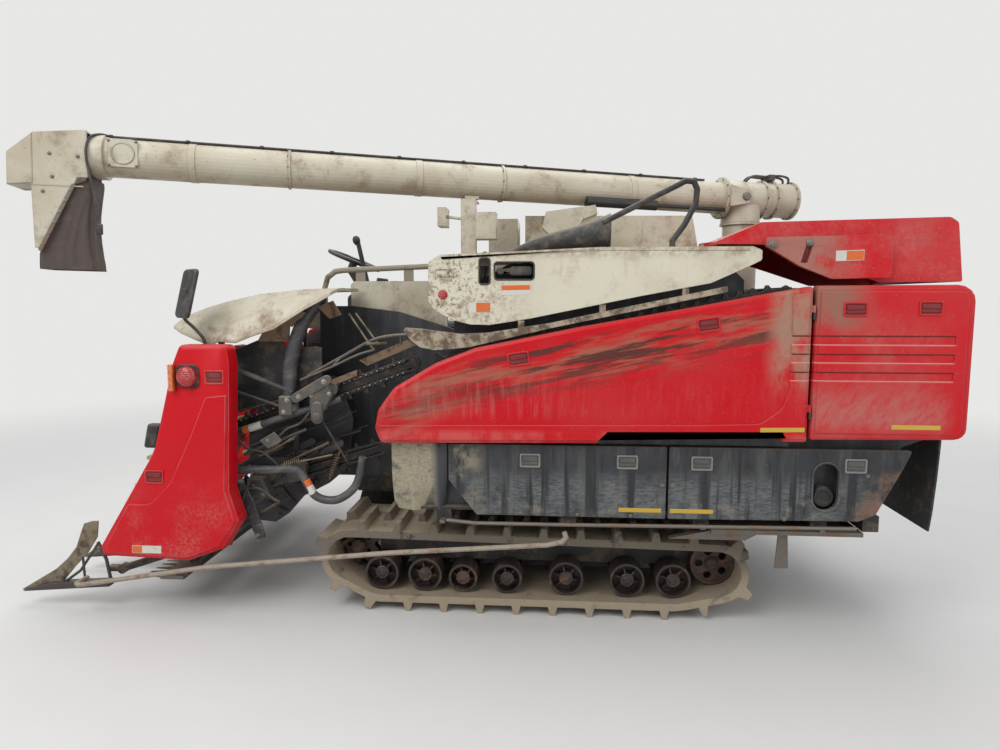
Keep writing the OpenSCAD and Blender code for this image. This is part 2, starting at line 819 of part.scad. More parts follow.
module dust_duct() {
    color([0.14, 0.14, 0.15])
        loft([
            for (row = [[-246, 1759.4, 12], [-330, 1784, 26], [-440, 1806, 40], [-560, 1826, 54],
                [-704, 1852, 78]])
                [for (a = [0 : 30 : 330]) [row[0], 700 - 0.8 * row[2] * sin(a), row[1] + row[2] * cos(a)]]
        ]);
}

module grab_handle() {
    color("black")
        translate([0, cover_left - 22, 0])
            bent_tube([[-655, 0, 1870], [-980, 0, 2030], [-1010, 0, 2046], [-1045, 0, 2042],
                [-1060, 0, 2010], [-1056, 0, 1950], [-1010, 0, 1860], [-960, 0, 1790],
                [-960, 0, cover_peak + seat_gap]], 13);
}

post_s = 1635;
// Height of the tube's rest shoe, below the tube's axis
shoe_low = -96;
post_x = slew_x + post_s * cos(boom_turn);
post_y = slew_y + post_s * sin(boom_turn);
post_top = boom_z + (post_s - lift_s) * sin(boom_rise) + shoe_low - 5;

module auger_rest() {
    color("tan") {
        box([post_x - 40, post_y + 60, cover_top(post_x - 40) + seat_gap],
            [post_x + 40, post_y + 100, post_top]);
        box([post_x - 40, post_y - 60, post_top - 10], [post_x + 40, post_y + 100, post_top]);
        box([post_x - 150, post_y + 40, 1850], [post_x - 40, post_y + 140, 1988]);
    }
    color("gray")
        box([post_x + 120, post_y - 20, 1922], [post_x + 165, post_y + 100, 2020]);
    color("black")
        bar([post_x + 30, post_y + 80, 1960], [post_x + 125, post_y + 60, 1975], 8);
}

floor_z = 930;
floor_t = 25;
floor_front = 830;
apron_y = 290;
// Top edge of the side sheet between the driver and the header. Columns: x, z
side_top = [[44, 1362], [385, 1468], [644, 1500], [floor_front, 1500]];
cowl_front = 430;
cowl_left = -110;
cowl_top = 1290;

module platform() {
    color([0.15, 0.16, 0.18]) {
        box([cowl_front + seat_gap, -920, floor_z - floor_t], [floor_front, apron_y, floor_z]);
        box([deck_front + 4, cowl_left + seat_gap, floor_z - floor_t], [cowl_front + 2, apron_y, floor_z]);
        // Left side sheet, seen through the header
        plate_xz([[deck_front + 4, beam_top + seat_gap], for (p = case_front) p + [4, 3], each side_top,
            [floor_front, beam_top + seat_gap]], apron_y - 12, apron_y);
        // Front apron, skirt and riser on the outrigger
        box([floor_front - 14, -920, 620], [floor_front, stand_right, floor_z]);
        box([cowl_front + 10, -935, deck_z], [floor_front, -920, floor_z]);
        box([588, -860, beam_top + seat_gap], [612, -280, floor_z]);
    }
}

panel_top = 1634;

// Cream panel on the side sheet's edge, under the handrail
module inner_panel() {
    color("wheat")
        plate_xz([for (x = [126, 385, 644, 654]) [x, lookup(x, side_top) + seat_gap], [654, panel_top - 20],
            [634, panel_top], [126, panel_top]], apron_y - 14, apron_y - 2);
}

module engine_cover() {
    color([0.6, 0.1, 0.1])
        difference() {
            box([-275, -948, deck_z + seat_gap], [cowl_front, cowl_left, cowl_top]);
            box([-255, -930, deck_z], [cowl_front - 20, cowl_left - 18, cowl_top - 20]);
            for (z = [700 : 60 : 1120])
                box([-220, -960, z], [380, -900, z + 30]);
        }
}

// Air intake box behind the driver
module intake_box() {
    color("wheat")
        plate_xz([[-219, cowl_top + seat_gap], [-40, cowl_top + seat_gap], [-40, 1990], [-75, 2030],
            [-219, 2030]], -660, -340);
}

seat_y = -520;

module seat() {
    color([0.1, 0.1, 0.1]) {
        plate_xz(rounded([[60, 1330, 20], [470, 1330, 30], [480, 1420, 40], [60, 1400, 20]]),
            seat_y - 230, seat_y + 230);
        plate_xz(rounded([[40, 1400.5, 10], [110, 1402.5, 10], [40, 1840, 40], [-38, 1840, 30]]),
            seat_y - 220, seat_y + 220);
        box([100, seat_y - 150, cowl_top + seat_gap], [420, seat_y + 150, 1332]);
    }
}

wheel_centre = [858, -500, 1789];
wheel_tilt = -22;
rim_r = 165;
hub_h = 36;
wheel_axis = [sin(wheel_tilt), 0, cos(wheel_tilt)];

module control_tower() {
    neck = wheel_centre - wheel_axis * (hub_h / 2 + 48);
    color([0.16, 0.17, 0.18]) {
        plate_xz(rounded([[640, floor_z + seat_gap, 0], [floor_front - 16, floor_z + seat_gap, 0],
            [floor_front - 16, 1560, 30], [640, 1600, 40]]), -800, -180);
        bar(neck, wheel_centre - wheel_axis * (hub_h / 2 + seat_gap), 26);
        bar([780, -500, 1560], neck, 26);
        translate(neck)
            sphere(r = 26);
    }
    color("tan")
        bar([700, -270, 1580], [770, -270, 1900], 14);
}

module handrail() {
    y = apron_y - 8;
    color("tan") {
        bent_tube([[800, y, lookup(800, side_top) + seat_gap], [800, y, 1600], [782, y, 1655],
            [740, y, 1686], [700, y, 1692], [180, y, 1714], [150, y, 1705], [142, y, 1680],
            [142, y, panel_top + seat_gap]], 15);
        for (x = [600, 336])
            box([x - 26, y - 4, panel_top + seat_gap], [x + 26, y + 4, 1700]);
    }
}

module steering_wheel() {
    color([0.1, 0.1, 0.1])
        translate(wheel_centre)
            rotate([0, wheel_tilt, 0]) {
                rotate_extrude()
                    translate([rim_r, 0])
                        circle(r = 13);
                for (a = [0, 120, 240])
                    rotate([0, 0, a])
                        translate([0, -12, -5])
                            cube([rim_r, 24, 10]);
                cylinder(r = 40, h = hub_h, center = true);
            }
}

// Doors

front_door_rows = [
    [seam_x + door_gap, 915, 12], [seam_x + door_gap + 100, 915, 0], [-1431, 945, 0], [-680, 935, 0],
    [-642, 896, 0], [340, 882, 34], [366, 950, 40], [350, 1035, 60], [274, 1138, 80], [84, 1250, 0],
    [-96, 1320, 0], [-570, 1417, 0], [-1030, 1498, 0], [-1409, 1569, 0], [seam_x + door_gap, 1592, 14]
];
rear_door_rows = [
    [rear_x, 934, 50], [seam_x, 926, 12], [seam_x, 1594, 14], [rear_x, 1597, 70]
];
// Hinge knuckles of the doors: axes in x, and the heights of the fixed knuckles
knuckle_r = 4;
knuckle_gap = 1;
front_hinge_x = seam_x + door_gap - knuckle_r - knuckle_gap;
rear_hinge_x = rear_x - knuckle_r - 2 * knuckle_gap;
rear_hinge_y = side_y - door_t;
knuckle_h = 30;
knuckle_zs = [1020, 1450];

// Shell of a side door: bevelled outer rim, hollow behind its skin
module side_door(rows) {
    bevelled_panel(rows, [
        [side_y - door_skin, door_skin], [side_y - door_t, door_skin], [side_y - door_t, 0],
        [side_y - 18, 0], [side_y - 6, 4], [side_y, 16]
    ]);
}

// A door's own knuckles, which rest on the fixed ones, and their leaves into the door
module door_knuckles(x, y, edge, leaf_y) {
    for (z = knuckle_zs) {
        translate([x, y, z + knuckle_h + seat_gap])
            cylinder(r = knuckle_r, h = knuckle_h);
        box([x, leaf_y, z + knuckle_h + seat_gap], [edge, leaf_y + 6, z + 2 * knuckle_h]);
    }
}

module side_door_front() {
    color("red") {
        side_door(front_door_rows);
        door_knuckles(front_hinge_x, side_y, seam_x + door_gap + 14, side_y - 9);
    }
}

module side_door_rear() {
    color("red") {
        side_door(rear_door_rows);
        door_knuckles(rear_hinge_x, rear_hinge_y, rear_x + 13, rear_hinge_y + 1);
    }
}

hood_left = side_y - 58;
// Columns: x, z, corner radius
hood_rows = [
    [hood_hinge[0] - 30, 1774, 0], [hood_hinge[0] - 30, 1787, 0], [-1333, 1866, 20],
    [rear_x + 98, 1882, 30], [rear_x + 64, 1860, 24], [rear_x + 34, 1610, 8],
    [-1836, 1608, 0], [-1345, 1772, 0]
];

module rear_hood() {
    color("firebrick") {
        difference() {
            plate_xz(rounded(hood_rows), case_right, hood_left);
            plate_xz([[-1180, 1400], [-1180, 1774], [-1336, 1846], [rear_x + 106, 1864],
                [rear_x + 82, 1846], [rear_x + 50, 1600], [rear_x + 50, 1400]],
                case_right + sheet_t, hood_left - sheet_t);
        }
        // Side plate with its slot
        difference() {
            plate_xz(rounded([[-1350, 1800, 16], [-1840, 1808, 30], [-1874, 1770, 20], [-1874, 1628, 16],
                [-1630, 1622, 30], [-1493, 1677, 40], [-1350, 1764, 20]]), hood_left - 1, hood_left + 26);
            plate_xz(rounded([[-1504, 1692, 5], [-1516, 1688, 5], [-1542, 1772, 5], [-1528, 1776, 5]]),
                hood_left + 12, hood_left + 27);
        }
        // Hinge ears
        for (y = hood_hinge_ys)
            difference() {
                plate_xz(rounded([[hood_hinge[0] + 12, 1770, 5], [hood_hinge[0] + 12, 1790, 8],
                    [-1200, 1802, 0], [-1200, 1776, 0]]), y + 12, y + 20);
                drum(hood_hinge[0], y + 16, hood_hinge[1], hinge_pin_r + 0.5, 12);
            }
    }
}

// Unloading auger. Its own x runs from the slewing axis along the boom
module along_boom() {
    translate([slew_x, slew_y, boom_z])
        rotate([0, 0, boom_turn])
            children();
}

// On the raised line of the tube, from the lift pivot
module along_tube() {
    along_boom()
        translate([lift_s, 0, 0])
            rotate([0, -boom_rise, 0])
                translate([-lift_s, 0, 0])
                    children();
}

head_r = 100;
head_tail = -330;
ear_y = ball_r + ball_gap;
ear_t = 10;
pin_r = 18;

module auger_head() {
    color("wheat")
        along_boom() {
            translate([head_tail, 0, 0])
                rotate([0, 90, 0])
                    cylinder(r = head_r, h = lift_s - head_tail);
            for (s = [head_tail, -200, -130])
                translate([s, 0, 0])
                    rotate([0, 90, 0])
                        cylinder(r = head_r + 12, h = 12);
            translate([head_tail - 40, 0, 0])
                rotate([0, 90, 0])
                    cylinder(r = 36, h = 42);
            translate([lift_s, 0, 0])
                sphere(r = ball_r);
            translate([0, 0, pipe_top + seat_gap - boom_z])
                cylinder(r = 112, h = boom_z - pipe_top - 40);
            drum(lift_s, 0, 0, pin_r, 2 * (ear_y + ear_t + 4));
        }
}

tube_start = lift_s + 88;
// Collars on the tube. Columns: place along the boom, width, height
tube_collars = [[tube_start, 14, 30], [1460, 12, 8], [2560, 12, 6]];

module auger_tube() {
    color("wheat")
        along_tube() {
            difference() {
                union() {
                    translate([tube_start, 0, 0])
                        rotate([0, 90, 0])
                            cylinder(r = tube_r, h = tube_end - tube_start);
                    for (s = tube_collars)
                        translate([s[0], 0, 0])
                            rotate([0, 90, 0])
                                cylinder(r = tube_r + s[2], h = s[1]);
                }
                // Cup round the ball
                translate([lift_s, 0, 0])
                    sphere(r = ball_r + ball_gap);
            }
            // Ears on the lift pivot's pins
            for (m = [0, 1])
                mirror([0, m, 0])
                    difference() {
                        plate_xz(rounded([[lift_s - 34, -34, 20], [tube_start + 10, -60, 0],
                            [tube_start + 10, 60, 0], [lift_s - 34, 34, 20]]), ear_y, ear_y + ear_t);
                        drum(lift_s, ear_y + ear_t / 2, 0, pin_r + 0.5, ear_t + 2);
                    }
            // Cable tray along the top
            box([250, -14, tube_r - 4], [3290, 14, tube_r + 12]);
            // Shoe that sits on the rest post
            box([post_s - 38, -50, shoe_low], [post_s + 38, 50, 10 - tube_r]);
        }
    color("black")
        along_tube() {
            bar([580, 74, -76], [1000, 74, -76], 28);
            bar([130, 74, -76], [580, 74, -76], 10);
        }
}

hood_s = tube_end;
spout_half = 104;
spout_low = -450;
sock_low = -540;

module auger_spout() {
    color("wheat")
        along_tube() {
            difference() {
                plate_xz([[hood_s, -110], [hood_s, 100], [hood_s + 20, 102], [hood_s + 222, 78],
                    [hood_s + 331, -18], [hood_s + 335, -162], [hood_s + 237, -152],
                    [hood_s + 232, spout_low + 10], [hood_s + 206, spout_low], [hood_s + 63, -150],
                    [hood_s + 10, -130]], -spout_half, spout_half);
                plate_xz([[hood_s - 1, -86], [hood_s - 1, 86], [hood_s + 20, 90], [hood_s + 216, 67],
                    [hood_s + 321, -24], [hood_s + 324, -148], [hood_s + 223, -140],
                    [hood_s + 218, sock_low - 60], [hood_s + 16, sock_low - 60], [hood_s + 16, -130]],
                    -spout_half + 8, spout_half - 8);
            }
            // Collar on the tube
            difference() {
                translate([hood_s - 60, 0, 0])
                    rotate([0, 90, 0])
                        cylinder(r = tube_r + 12, h = 61);
                translate([hood_s - 61, 0, 0])
                    rotate([0, 90, 0])
                        cylinder(r = tube_r + seat_gap, h = 63);
            }
        }
    // Canvas sock in the notch below the tube
    color([0.28, 0.24, 0.22])
        along_tube()
            difference() {
                plate_xz([[hood_s - 24, -108], [hood_s + 10, -118], [hood_s + 70, -138],
                    [hood_s + 222, spout_low + 14], [hood_s + 228, spout_low + 14],
                    [hood_s + 229, sock_low], [hood_s - 31, sock_low]], -spout_half + 2, spout_half - 2);
                plate_xz([[hood_s - 14, -90], [hood_s + 60, -90], [hood_s + 240, spout_low + 20],
                    [hood_s + 219, spout_low], [hood_s + 219, sock_low - 1], [hood_s - 21, sock_low - 1]],
                    -spout_half + 10, spout_half - 10);
            }
}

// Header

// Centres of the lifter cases and of the dividers across the header
case_ys = [for (k = [-1.5 : 1 : 1.5]) k * row_pitch];
divider_ys = [for (k = [-2 : 1 : 2]) k * row_pitch + (abs(k) == 2 ? sign(k) * 80 : 0)];
// Foot and top of a lifter case, and its half depth. The case leans back
case_foot = [1760, 300];
case_top = [1310, 1240];
case_half = 62;
case_dir = unit(case_top - case_foot);
case_back = [-case_dir[1], case_dir[0]];

module lifter_cases() {
    color([0.75, 0.1, 0.12])
        for (y = case_ys)
            plate_xz(rounded([
                [case_foot[0] - case_half, case_foot[1], 20], [case_foot[0] + case_half, case_foot[1], 50],
                [case_top[0] + case_half, case_top[1] + 60, 60], [case_top[0] - case_half, case_top[1], 50]
            ]), y - case_w / 2, y + case_w / 2);
}

tine_rounds = [for (s = [90, 960]) [each case_foot + case_dir * s, 34]];

// Hinged tines that stand out sideways from each case
module lifter_tines() {
    pieces = loop_pieces(tine_rounds);
    count = 12;
    color("gold")
        for (y = case_ys)
            for (i = [0 : count - 1]) {
                p = on_loop(pieces, i * loop_length(pieces) / count, 0);
                box([p[0] - 12, y + case_w / 2 + seat_gap, p[1] - 9],
                    [p[0] + 12, y + case_w / 2 + 92, p[1] + 9]);
            }
}

divider_z = 80;
divider_rear = 1745;

module dividers() {
    color("tan")
        for (y = divider_ys) {
            plate_xz([[2217, divider_z], [divider_rear, 150], [divider_rear, 250], [1760, 440], [1790, 447],
                [1990, 180]], y - 9, y + 9);
            plate_xz([[2200, divider_z], [divider_rear, 118], [divider_rear, 150], [2050, 128]],
                y - 22, y + 22);
        }
}

cutter_z = 150;
cutter_t = 18;

module cutter_bar() {
    color("gray") {
        box([1380, -820, cutter_z], [1500, 820, cutter_z + cutter_t]);
        for (y = [-800 : 50 : 800])
            plate_xz([[1500, cutter_z + 2], [1590, cutter_z + 8], [1500, cutter_z + 16]], y - 9, y + 9);
    }
}

foot_pipe = [1290, 330];
// Centre of the cross pipe that the lifter cases lean on
top_pipe = case_foot - [case_half, 0] + case_dir * 980 + case_back * (pipe_r + seat_gap);
side_frame_y = 817.7;
side_frame_t = 12;
main_beam_y = 80;
function main_beam_z(x) = head_z + (foot_pipe[1] - head_z) * (x - head_x) / (foot_pipe[0] - head_x);

module header_frame() {
    color([0.13, 0.13, 0.14]) {
        // Pivot pipe, main beam and the pipe at the foot
        bar([head_x, stand_right + seat_gap, head_z], [head_x, stand_left - seat_gap, head_z], pipe_r + 12);
        bar([head_x, main_beam_y, head_z], [foot_pipe[0], main_beam_y, foot_pipe[1]], pipe_r + 10);
        drum(foot_pipe[0], 0, foot_pipe[1], pipe_r + 18, 2 * side_frame_y + 2);
        drum(top_pipe[0], 0, top_pipe[1], pipe_r, 2 * side_frame_y + 2);
        for (y = case_ys)
            bar([foot_pipe[0], y, 300], [1760, y, 270], 22);
        // Arms to the dividers
        for (y = divider_ys) {
            root = sign(y) * min(abs(y), 796);
            tip = sign(y) * min(abs(y), 828);
            bar([foot_pipe[0], root, foot_pipe[1]], [1680, tip, 205], 18);
            bar([1680, tip, 205], [divider_rear - seat_gap, tip, 205], 18);
            drum(1680, tip, 205, 23, 40);
        }
        // Knife back and its hangers
        box([1360, -810, cutter_z + cutter_t + seat_gap], [1420, 810, cutter_z + cutter_t + 30]);
        for (y = [-700, -285, 285, 700])
            plate_xz([[1250, 330], [1330, 330], [1410, 190], [1370, 190]], y - 8, y + 8);
        // Side frames and their spacers behind the red covers
        both_sides() {
            plate_xz([[1120, 340], [1300, 300], [1640, 310], [1300, 1230], [1190, 1230], [1150, 700]],
                side_frame_y, side_frame_y + side_frame_t);
            for (p = [[1330, 420], [1560, 400], [1240, 1150]])
                bar([p[0], side_frame_y, p[1]], [p[0], header_y - 12 - seat_gap, p[1]], 16);
        }
        // Inner side sheet, outside the lifter cases and over the upper conveyor
        plate_xz([[1250, 1060], [1250, 1250], [1130, 1290], [930, 1372], [905, 1372], [880, 1300],
            [700, 1300], [700, 1128], [900, 1055], [1160, 960]], 652, 658);
        // Posts under the top sheet
        for (y = [-600, 0, 600])
            box([top_pipe[0] - 12, y - 12, top_pipe[1]],
                [top_pipe[0] + 12, y + 12, sheet_under(top_pipe[0] + 12) - seat_gap]);
        // Cross bars that carry the conveyors
        bar([865, main_beam_y, main_beam_z(865)], [865, 540, main_beam_z(865)], 20);
        box([850, 530, main_beam_z(865)], [880, 546.7, 655]);
        bar([1040, -285, main_beam_z(1040)], [1040, 196, main_beam_z(1040)], 20);
        for (y = [-291, 189])
            box([1025, y + 0.3, main_beam_z(1040)], [1055, y + 14, 668]);
    }
}

cover_in = 830;
red_cover_rows = [
    [1119, 349, 10], [1296, 284, 30], [1726, 297, 16], [1738, 347, 20], [1442, 823, 0], [1330, 1240, 40],
    [1293, 1325, 20], [1061, 1325, 30], [1051, 1232, 10], [1077, 635, 0], [1034, 490, 20]
];

module header_covers() {
    color("red")
        both_sides()
            bevelled_panel(red_cover_rows, [
                [header_y - 12, 12], [cover_in, 12], [cover_in, 0], [header_y - 24, 0], [header_y - 8, 5],
                [header_y, 18]
            ]);
}

// Ridge of the top sheet. Columns: x, z
ridge = [[600, 1592], [790, 1585], [1009, 1562], [1170, 1527], [1279, 1497], [1400, 1452], [1465, 1405]];
top_t = 15;
function sheet_under(x) = lookup(x, ridge) - top_t;
// Share of a side's droop at x
droop_share = [[600, 0.15], [790, 0.55], [1009, 1], [1279, 1], [1465, 0.5]];
// Sides of the sheet. Columns: y, front edge, droop
left_side = [[330.3, 1465, 0], [640, 1465, 0], [700, 1400, 40], [760, 1300, 95], [800, 1200, 155]];
right_side = [for (i = [len(left_side) - 1 : -1 : 1]) [-left_side[i][0], left_side[i][1], left_side[i][2]]];

// Crowned sheet through sections, whose rear edge is the first ridge point in use
module crowned_sheet(sections, first) {
    xs = [for (i = [first : len(ridge) - 1]) ridge[i][0]];
    front = ridge[len(ridge) - 1][0];
    loft([
        for (s = sections)
            let (
                squeeze = (s[1] - xs[0]) / (front - xs[0]),
                top = [
                    for (x = xs)
                        [xs[0] + (x - xs[0]) * squeeze, s[0],
                            lookup(x, ridge) - s[2] * lookup(x, droop_share)]
                ]
            )
            [for (p = top) p - [0, 0, top_t], for (i = [len(top) - 1 : -1 : 0]) top[i]]
    ]);
}

// Sheet over the header. Its rear part reaches back on the left only, beside the driver
module header_top() {
    color("wheat") {
        crowned_sheet([each right_side, [330, 1465, 0]], 3);
        crowned_sheet(left_side, 0);
    }
}

// Gathering conveyors. Columns: y, foot [x, z], top [x, z]
conveyor_rows = [
    [640, [1180, 880], [240, 1222]],
    [560, [1150, 560], [420, 780]],
    [180, [1230, 600], [930, 700]],
    [-300, [1230, 600], [930, 700]]
];
conveyor_r = 26;

module conveyors() {
    color("black")
        for (row = conveyor_rows) {
            rounds = [[each row[1], conveyor_r], [each row[2], conveyor_r]];
            links = 2 * round(loop_length(loop_pieces(rounds)) / 90);
            link_slab(rounds, links, 10, [26, 6, 24], [2, 0], row[0] - 9, row[0] + 9);
            for (p = [row[1], row[2]])
                drum(p[0], row[0], p[1], conveyor_r + 0.5, 18);
            plate_xz([row[1] + [0, -16], row[1] + [0, 16], row[2] + [0, 16], row[2] + [0, -16]],
                row[0] - 9, row[0] + 9);
            // Side plate of the chain's guide
            plate_xz([row[1] + [0, -44], row[1] + [0, 30], row[2] + [0, 30], row[2] + [0, -44]],
                row[0] - 13, row[0] - 9 + 1);
        }
}

module header_pipes() {
    color([0.13, 0.13, 0.14]) {
        bent_tube([[1200, side_frame_y - seat_gap, 855], [1200, 740, 855], [1150, 700, 868],
            [590, 700, 1050]], 26, 12);
        bent_tube([[853, 700, 975], [853, 700, 1080], [847, 700, 1185], [828, 700, 1285], [796, 692, 1385],
            [766, 655, 1460], [724, 600, 1530], [724, 600, sheet_under(758) - seat_gap]], 34, 12);
        bar([1118, 760, 1208], [830, 720, 1083], 12);
        bar([1118, 760, 1208], [1160, side_frame_y - seat_gap, 1208], 11);
        drum(1118, 760, 1208, 17, 30);
        box([870, 649.3, 950], [905, 700, 1000]);
        bent_tube([[1180, side_frame_y - seat_gap, 700], [1180, 796, 700], [1150, 780, 700],
            [830, 780, 713], [790, 780, 713], [755, 780, 660], [720, 780, 590], [680, 780, 562],
            [620, 780, 560], [556, 780, 579], [494, 780, 679], [468, 780, 778]], 20);
    }
}

// Driver's mirror for the left divider, on the side frame's top
module side_mirror() {
    y = side_frame_y + 2;
    color([0.13, 0.13, 0.14]) {
        bent_tube([[1212, y, 1230 + seat_gap], [1212, y, 1335], [1273, y, 1410], [1312, y, 1447],
            [1318, y, 1500], [1272, y, 1556]], 8, 8);
        plate_xz([[1232, 1446], [1250, 1438], [1310, 1680], [1292, 1684]], y - 50, y + 100);
    }
}

module lamps() {
    color("orange")
        box([1312, header_y + seat_gap, 1110], [1336, header_y + 26, 1236]);
    color("red")
        drum(1250, header_y + seat_gap + 18, 1180, 50, 36);
    // Side lamp in front of the cover's edge
    color("black")
        plate_xz([[1440.5, 830], [1504, 830], [1478, 946], [1409.4, 946]], header_y - 60, header_y - 26);
}

module guide_rod() {
    color("silver")
        bent_tube([[1860, divider_ys[4] + 9 + seat_gap, 160], [1860, 926, 160], [1840, 940, 158],
            [1196, 940, 267], [300, 945, 366], [-420, 948, 424], [-490, 948, 440], [-509, 948, 462],
            [-500, 948, 488]], 12, 8);
}

track(track_gauge / 2);  // track_left
track(-track_gauge / 2);  // track_right
track_frames();
rollers();
sprockets();
idlers();
transmission();
chassis_frame();
lashing_eyes();
engine();
threshing_case();
belt_drive();
feed_chain();
feed_rail();
threshing_cover();
mud_guard();
low_cover_front();
low_cover_rear();
guard_rail();
straw_chopper();
rear_flap();
grain_tank();
vertical_auger();
elevator_head();
dust_duct();
grab_handle();
auger_rest();
platform();
inner_panel();
engine_cover();
intake_box();
seat();
control_tower();
handrail();
steering_wheel();
side_door_front();
side_door_rear();
rear_hood();
auger_head();
auger_tube();
auger_spout();
header_frame();
header_covers();
header_top();
lifter_cases();
lifter_tines();
dividers();
cutter_bar();
conveyors();
header_pipes();
side_mirror();
lamps();
guide_rod();
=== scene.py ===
import math
import random

import bmesh
import bpy
from mathutils import Matrix, Vector


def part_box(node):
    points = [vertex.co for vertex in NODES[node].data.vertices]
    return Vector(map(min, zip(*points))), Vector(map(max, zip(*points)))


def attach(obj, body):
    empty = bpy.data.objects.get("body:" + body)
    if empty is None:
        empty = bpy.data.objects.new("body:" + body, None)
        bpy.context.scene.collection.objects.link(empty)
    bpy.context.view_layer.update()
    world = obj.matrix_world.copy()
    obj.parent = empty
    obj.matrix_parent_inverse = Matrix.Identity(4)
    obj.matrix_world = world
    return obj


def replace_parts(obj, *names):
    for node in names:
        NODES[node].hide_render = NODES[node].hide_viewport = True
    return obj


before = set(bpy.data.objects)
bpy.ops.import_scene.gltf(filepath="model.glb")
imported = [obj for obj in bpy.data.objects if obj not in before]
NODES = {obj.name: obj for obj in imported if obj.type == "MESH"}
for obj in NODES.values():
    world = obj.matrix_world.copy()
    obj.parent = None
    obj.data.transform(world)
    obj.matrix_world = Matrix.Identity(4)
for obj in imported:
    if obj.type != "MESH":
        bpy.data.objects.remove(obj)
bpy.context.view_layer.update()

# Plain colours, as linear RGB
RED = (0.52, 0.003, 0.010)
RED_FADED = (0.48, 0.05, 0.05)
CREAM = (0.62, 0.58, 0.46)
CREAM_AGED = (0.52, 0.485, 0.385)
CREAM_DULL = (0.40, 0.345, 0.25)
NAVY = (0.017, 0.019, 0.024)
CASE = (0.022, 0.023, 0.028)
BLACK = (0.012, 0.012, 0.013)
DUST = (0.36, 0.29, 0.21)
MUD = (0.32, 0.26, 0.185)
DARK_MUD = (0.085, 0.062, 0.045)
STEEL = (0.34, 0.32, 0.30)
RUBBER = (0.040, 0.036, 0.033)
STAIN = (0.10, 0.055, 0.035)

MM = 0.001
# Recessed bands that run across the seam of the side doors. Columns: low z, high z
BANDS = [(1186, 1225), (1264, 1303), (1341, 1381)]
# The auger's slewing centre, the boom's turn and rise at rest, and its lift pivot forward of that centre
SLEW = Vector((-1547.0, -300.0, 2126.0))
BOOM_TURN = math.radians(18.0)
BOOM_RISE = math.radians(-1.4)
LIFT_OFFSET = Vector((40.0, 0.0, 0.0))
BOOM_PIVOT = (SLEW + Matrix.Rotation(BOOM_TURN, 3, "Z") @ LIFT_OFFSET) * MM


class Look:
    """One procedural material. Each method adds shader nodes and returns the socket with their result."""

    def __init__(self, name, **constants):
        self.material = bpy.data.materials.new(name)
        self.material.use_nodes = True
        self.tree = self.material.node_tree
        self.surface = self.tree.nodes["Principled BSDF"]
        for label, value in constants.items():
            self.surface.inputs[label.replace("_", " ")].default_value = value
        self.place = self.node("TexCoord", "Object")

    def node(self, kind, result, inputs=(), **settings):
        made = self.tree.nodes.new("ShaderNode" + kind)
        for key, value in settings.items():
            setattr(made, key, value)
        for key, value in dict(inputs).items():
            self.feed(made.inputs[key], value)
        return made.outputs[result]

    def feed(self, target, value):
        if isinstance(value, bpy.types.NodeSocket):
            self.tree.links.new(value, target)
        elif isinstance(value, tuple) and target.type == "RGBA":
            target.default_value = (*value, 1.0)
        else:
            target.default_value = value

    def noise(
        self, scale, detail=3.0, roughness=0.55, stretch=(1.0, 1.0, 1.0), shift=0.0, turn=(0.0, 0.0, 0.0)
    ):
        """Cloudy noise. stretch makes it finer along each turned axis."""
        grain = tuple(1.0 / part for part in stretch)
        moved = self.turned((shift, shift, 0.0), turn, grain)
        return self.node(
            "TexNoise", "Fac", {"Vector": moved, "Scale": scale, "Detail": detail, "Roughness": roughness}
        )

    def turned(self, origin, turn, grain=(1.0, 1.0, 1.0)):
        """The surface's place in a frame with its own origin and turn."""
        inputs = {"Vector": self.place, "Location": origin, "Rotation": turn, "Scale": grain}
        return self.node("Mapping", "Vector", inputs, vector_type="TEXTURE")

    def band(self, value, low, high, floor=0.0, top=1.0):
        """Rises smoothly from floor to top as value goes from low to high."""
        return self.node(
            "MapRange", "Result",
            {"Value": value, "From Min": low, "From Max": high, "To Min": floor, "To Max": top},
            interpolation_type="SMOOTHSTEP",
        )

    def calc(self, operation, *values):
        return self.node("Math", 0, enumerate(values), operation=operation)

    def every(self, *shares):
        """The product of several shares."""
        result = shares[0]
        for share in shares[1:]:
            result = self.calc("MULTIPLY", result, share)
        return result

    def mix(self, share, under, over):
        return self.node(
            "Mix", 2, {0: share, 6: under, 7: over}, data_type="RGBA", clamp_factor=True
        )

    def stain(self, colour, over, *shares):
        """The colour with another over it, where every share is high."""
        return self.mix(self.every(*shares), colour, over)

    def along(self, axis, place=None):
        return self.node("SeparateXYZ", axis, {0: place or self.place})

    def facing(self, axis):
        normal = self.node("NewGeometry", "Normal")
        return self.node("SeparateXYZ", axis, {0: normal})

    def edges(self, radius):
        """One on edges and corners sharper than the radius, zero on flat ground."""
        rounded = self.node("Bevel", "Normal", {"Radius": radius}, samples=4)
        flat = self.node("NewGeometry", "Normal")
        same = self.node("VectorMath", "Value", {0: rounded, 1: flat}, operation="DOT_PRODUCT")
        return self.band(same, 0.995, 0.90)

    def finish(self, colour, roughness, height=None, depth=0.001, soft_edge=0.0):
        self.feed(self.surface.inputs["Base Color"], colour)
        self.feed(self.surface.inputs["Roughness"], roughness)
        normal = self.node("Bevel", "Normal", {"Radius": soft_edge}, samples=4) if soft_edge else None
        if height is not None:
            inputs = {"Height": height, "Distance": depth, "Strength": 1.0}
            if normal:
                inputs["Normal"] = normal
            normal = self.node("Bump", "Normal", inputs)
        if normal:
            self.feed(self.surface.inputs["Normal"], normal)
        return self.material


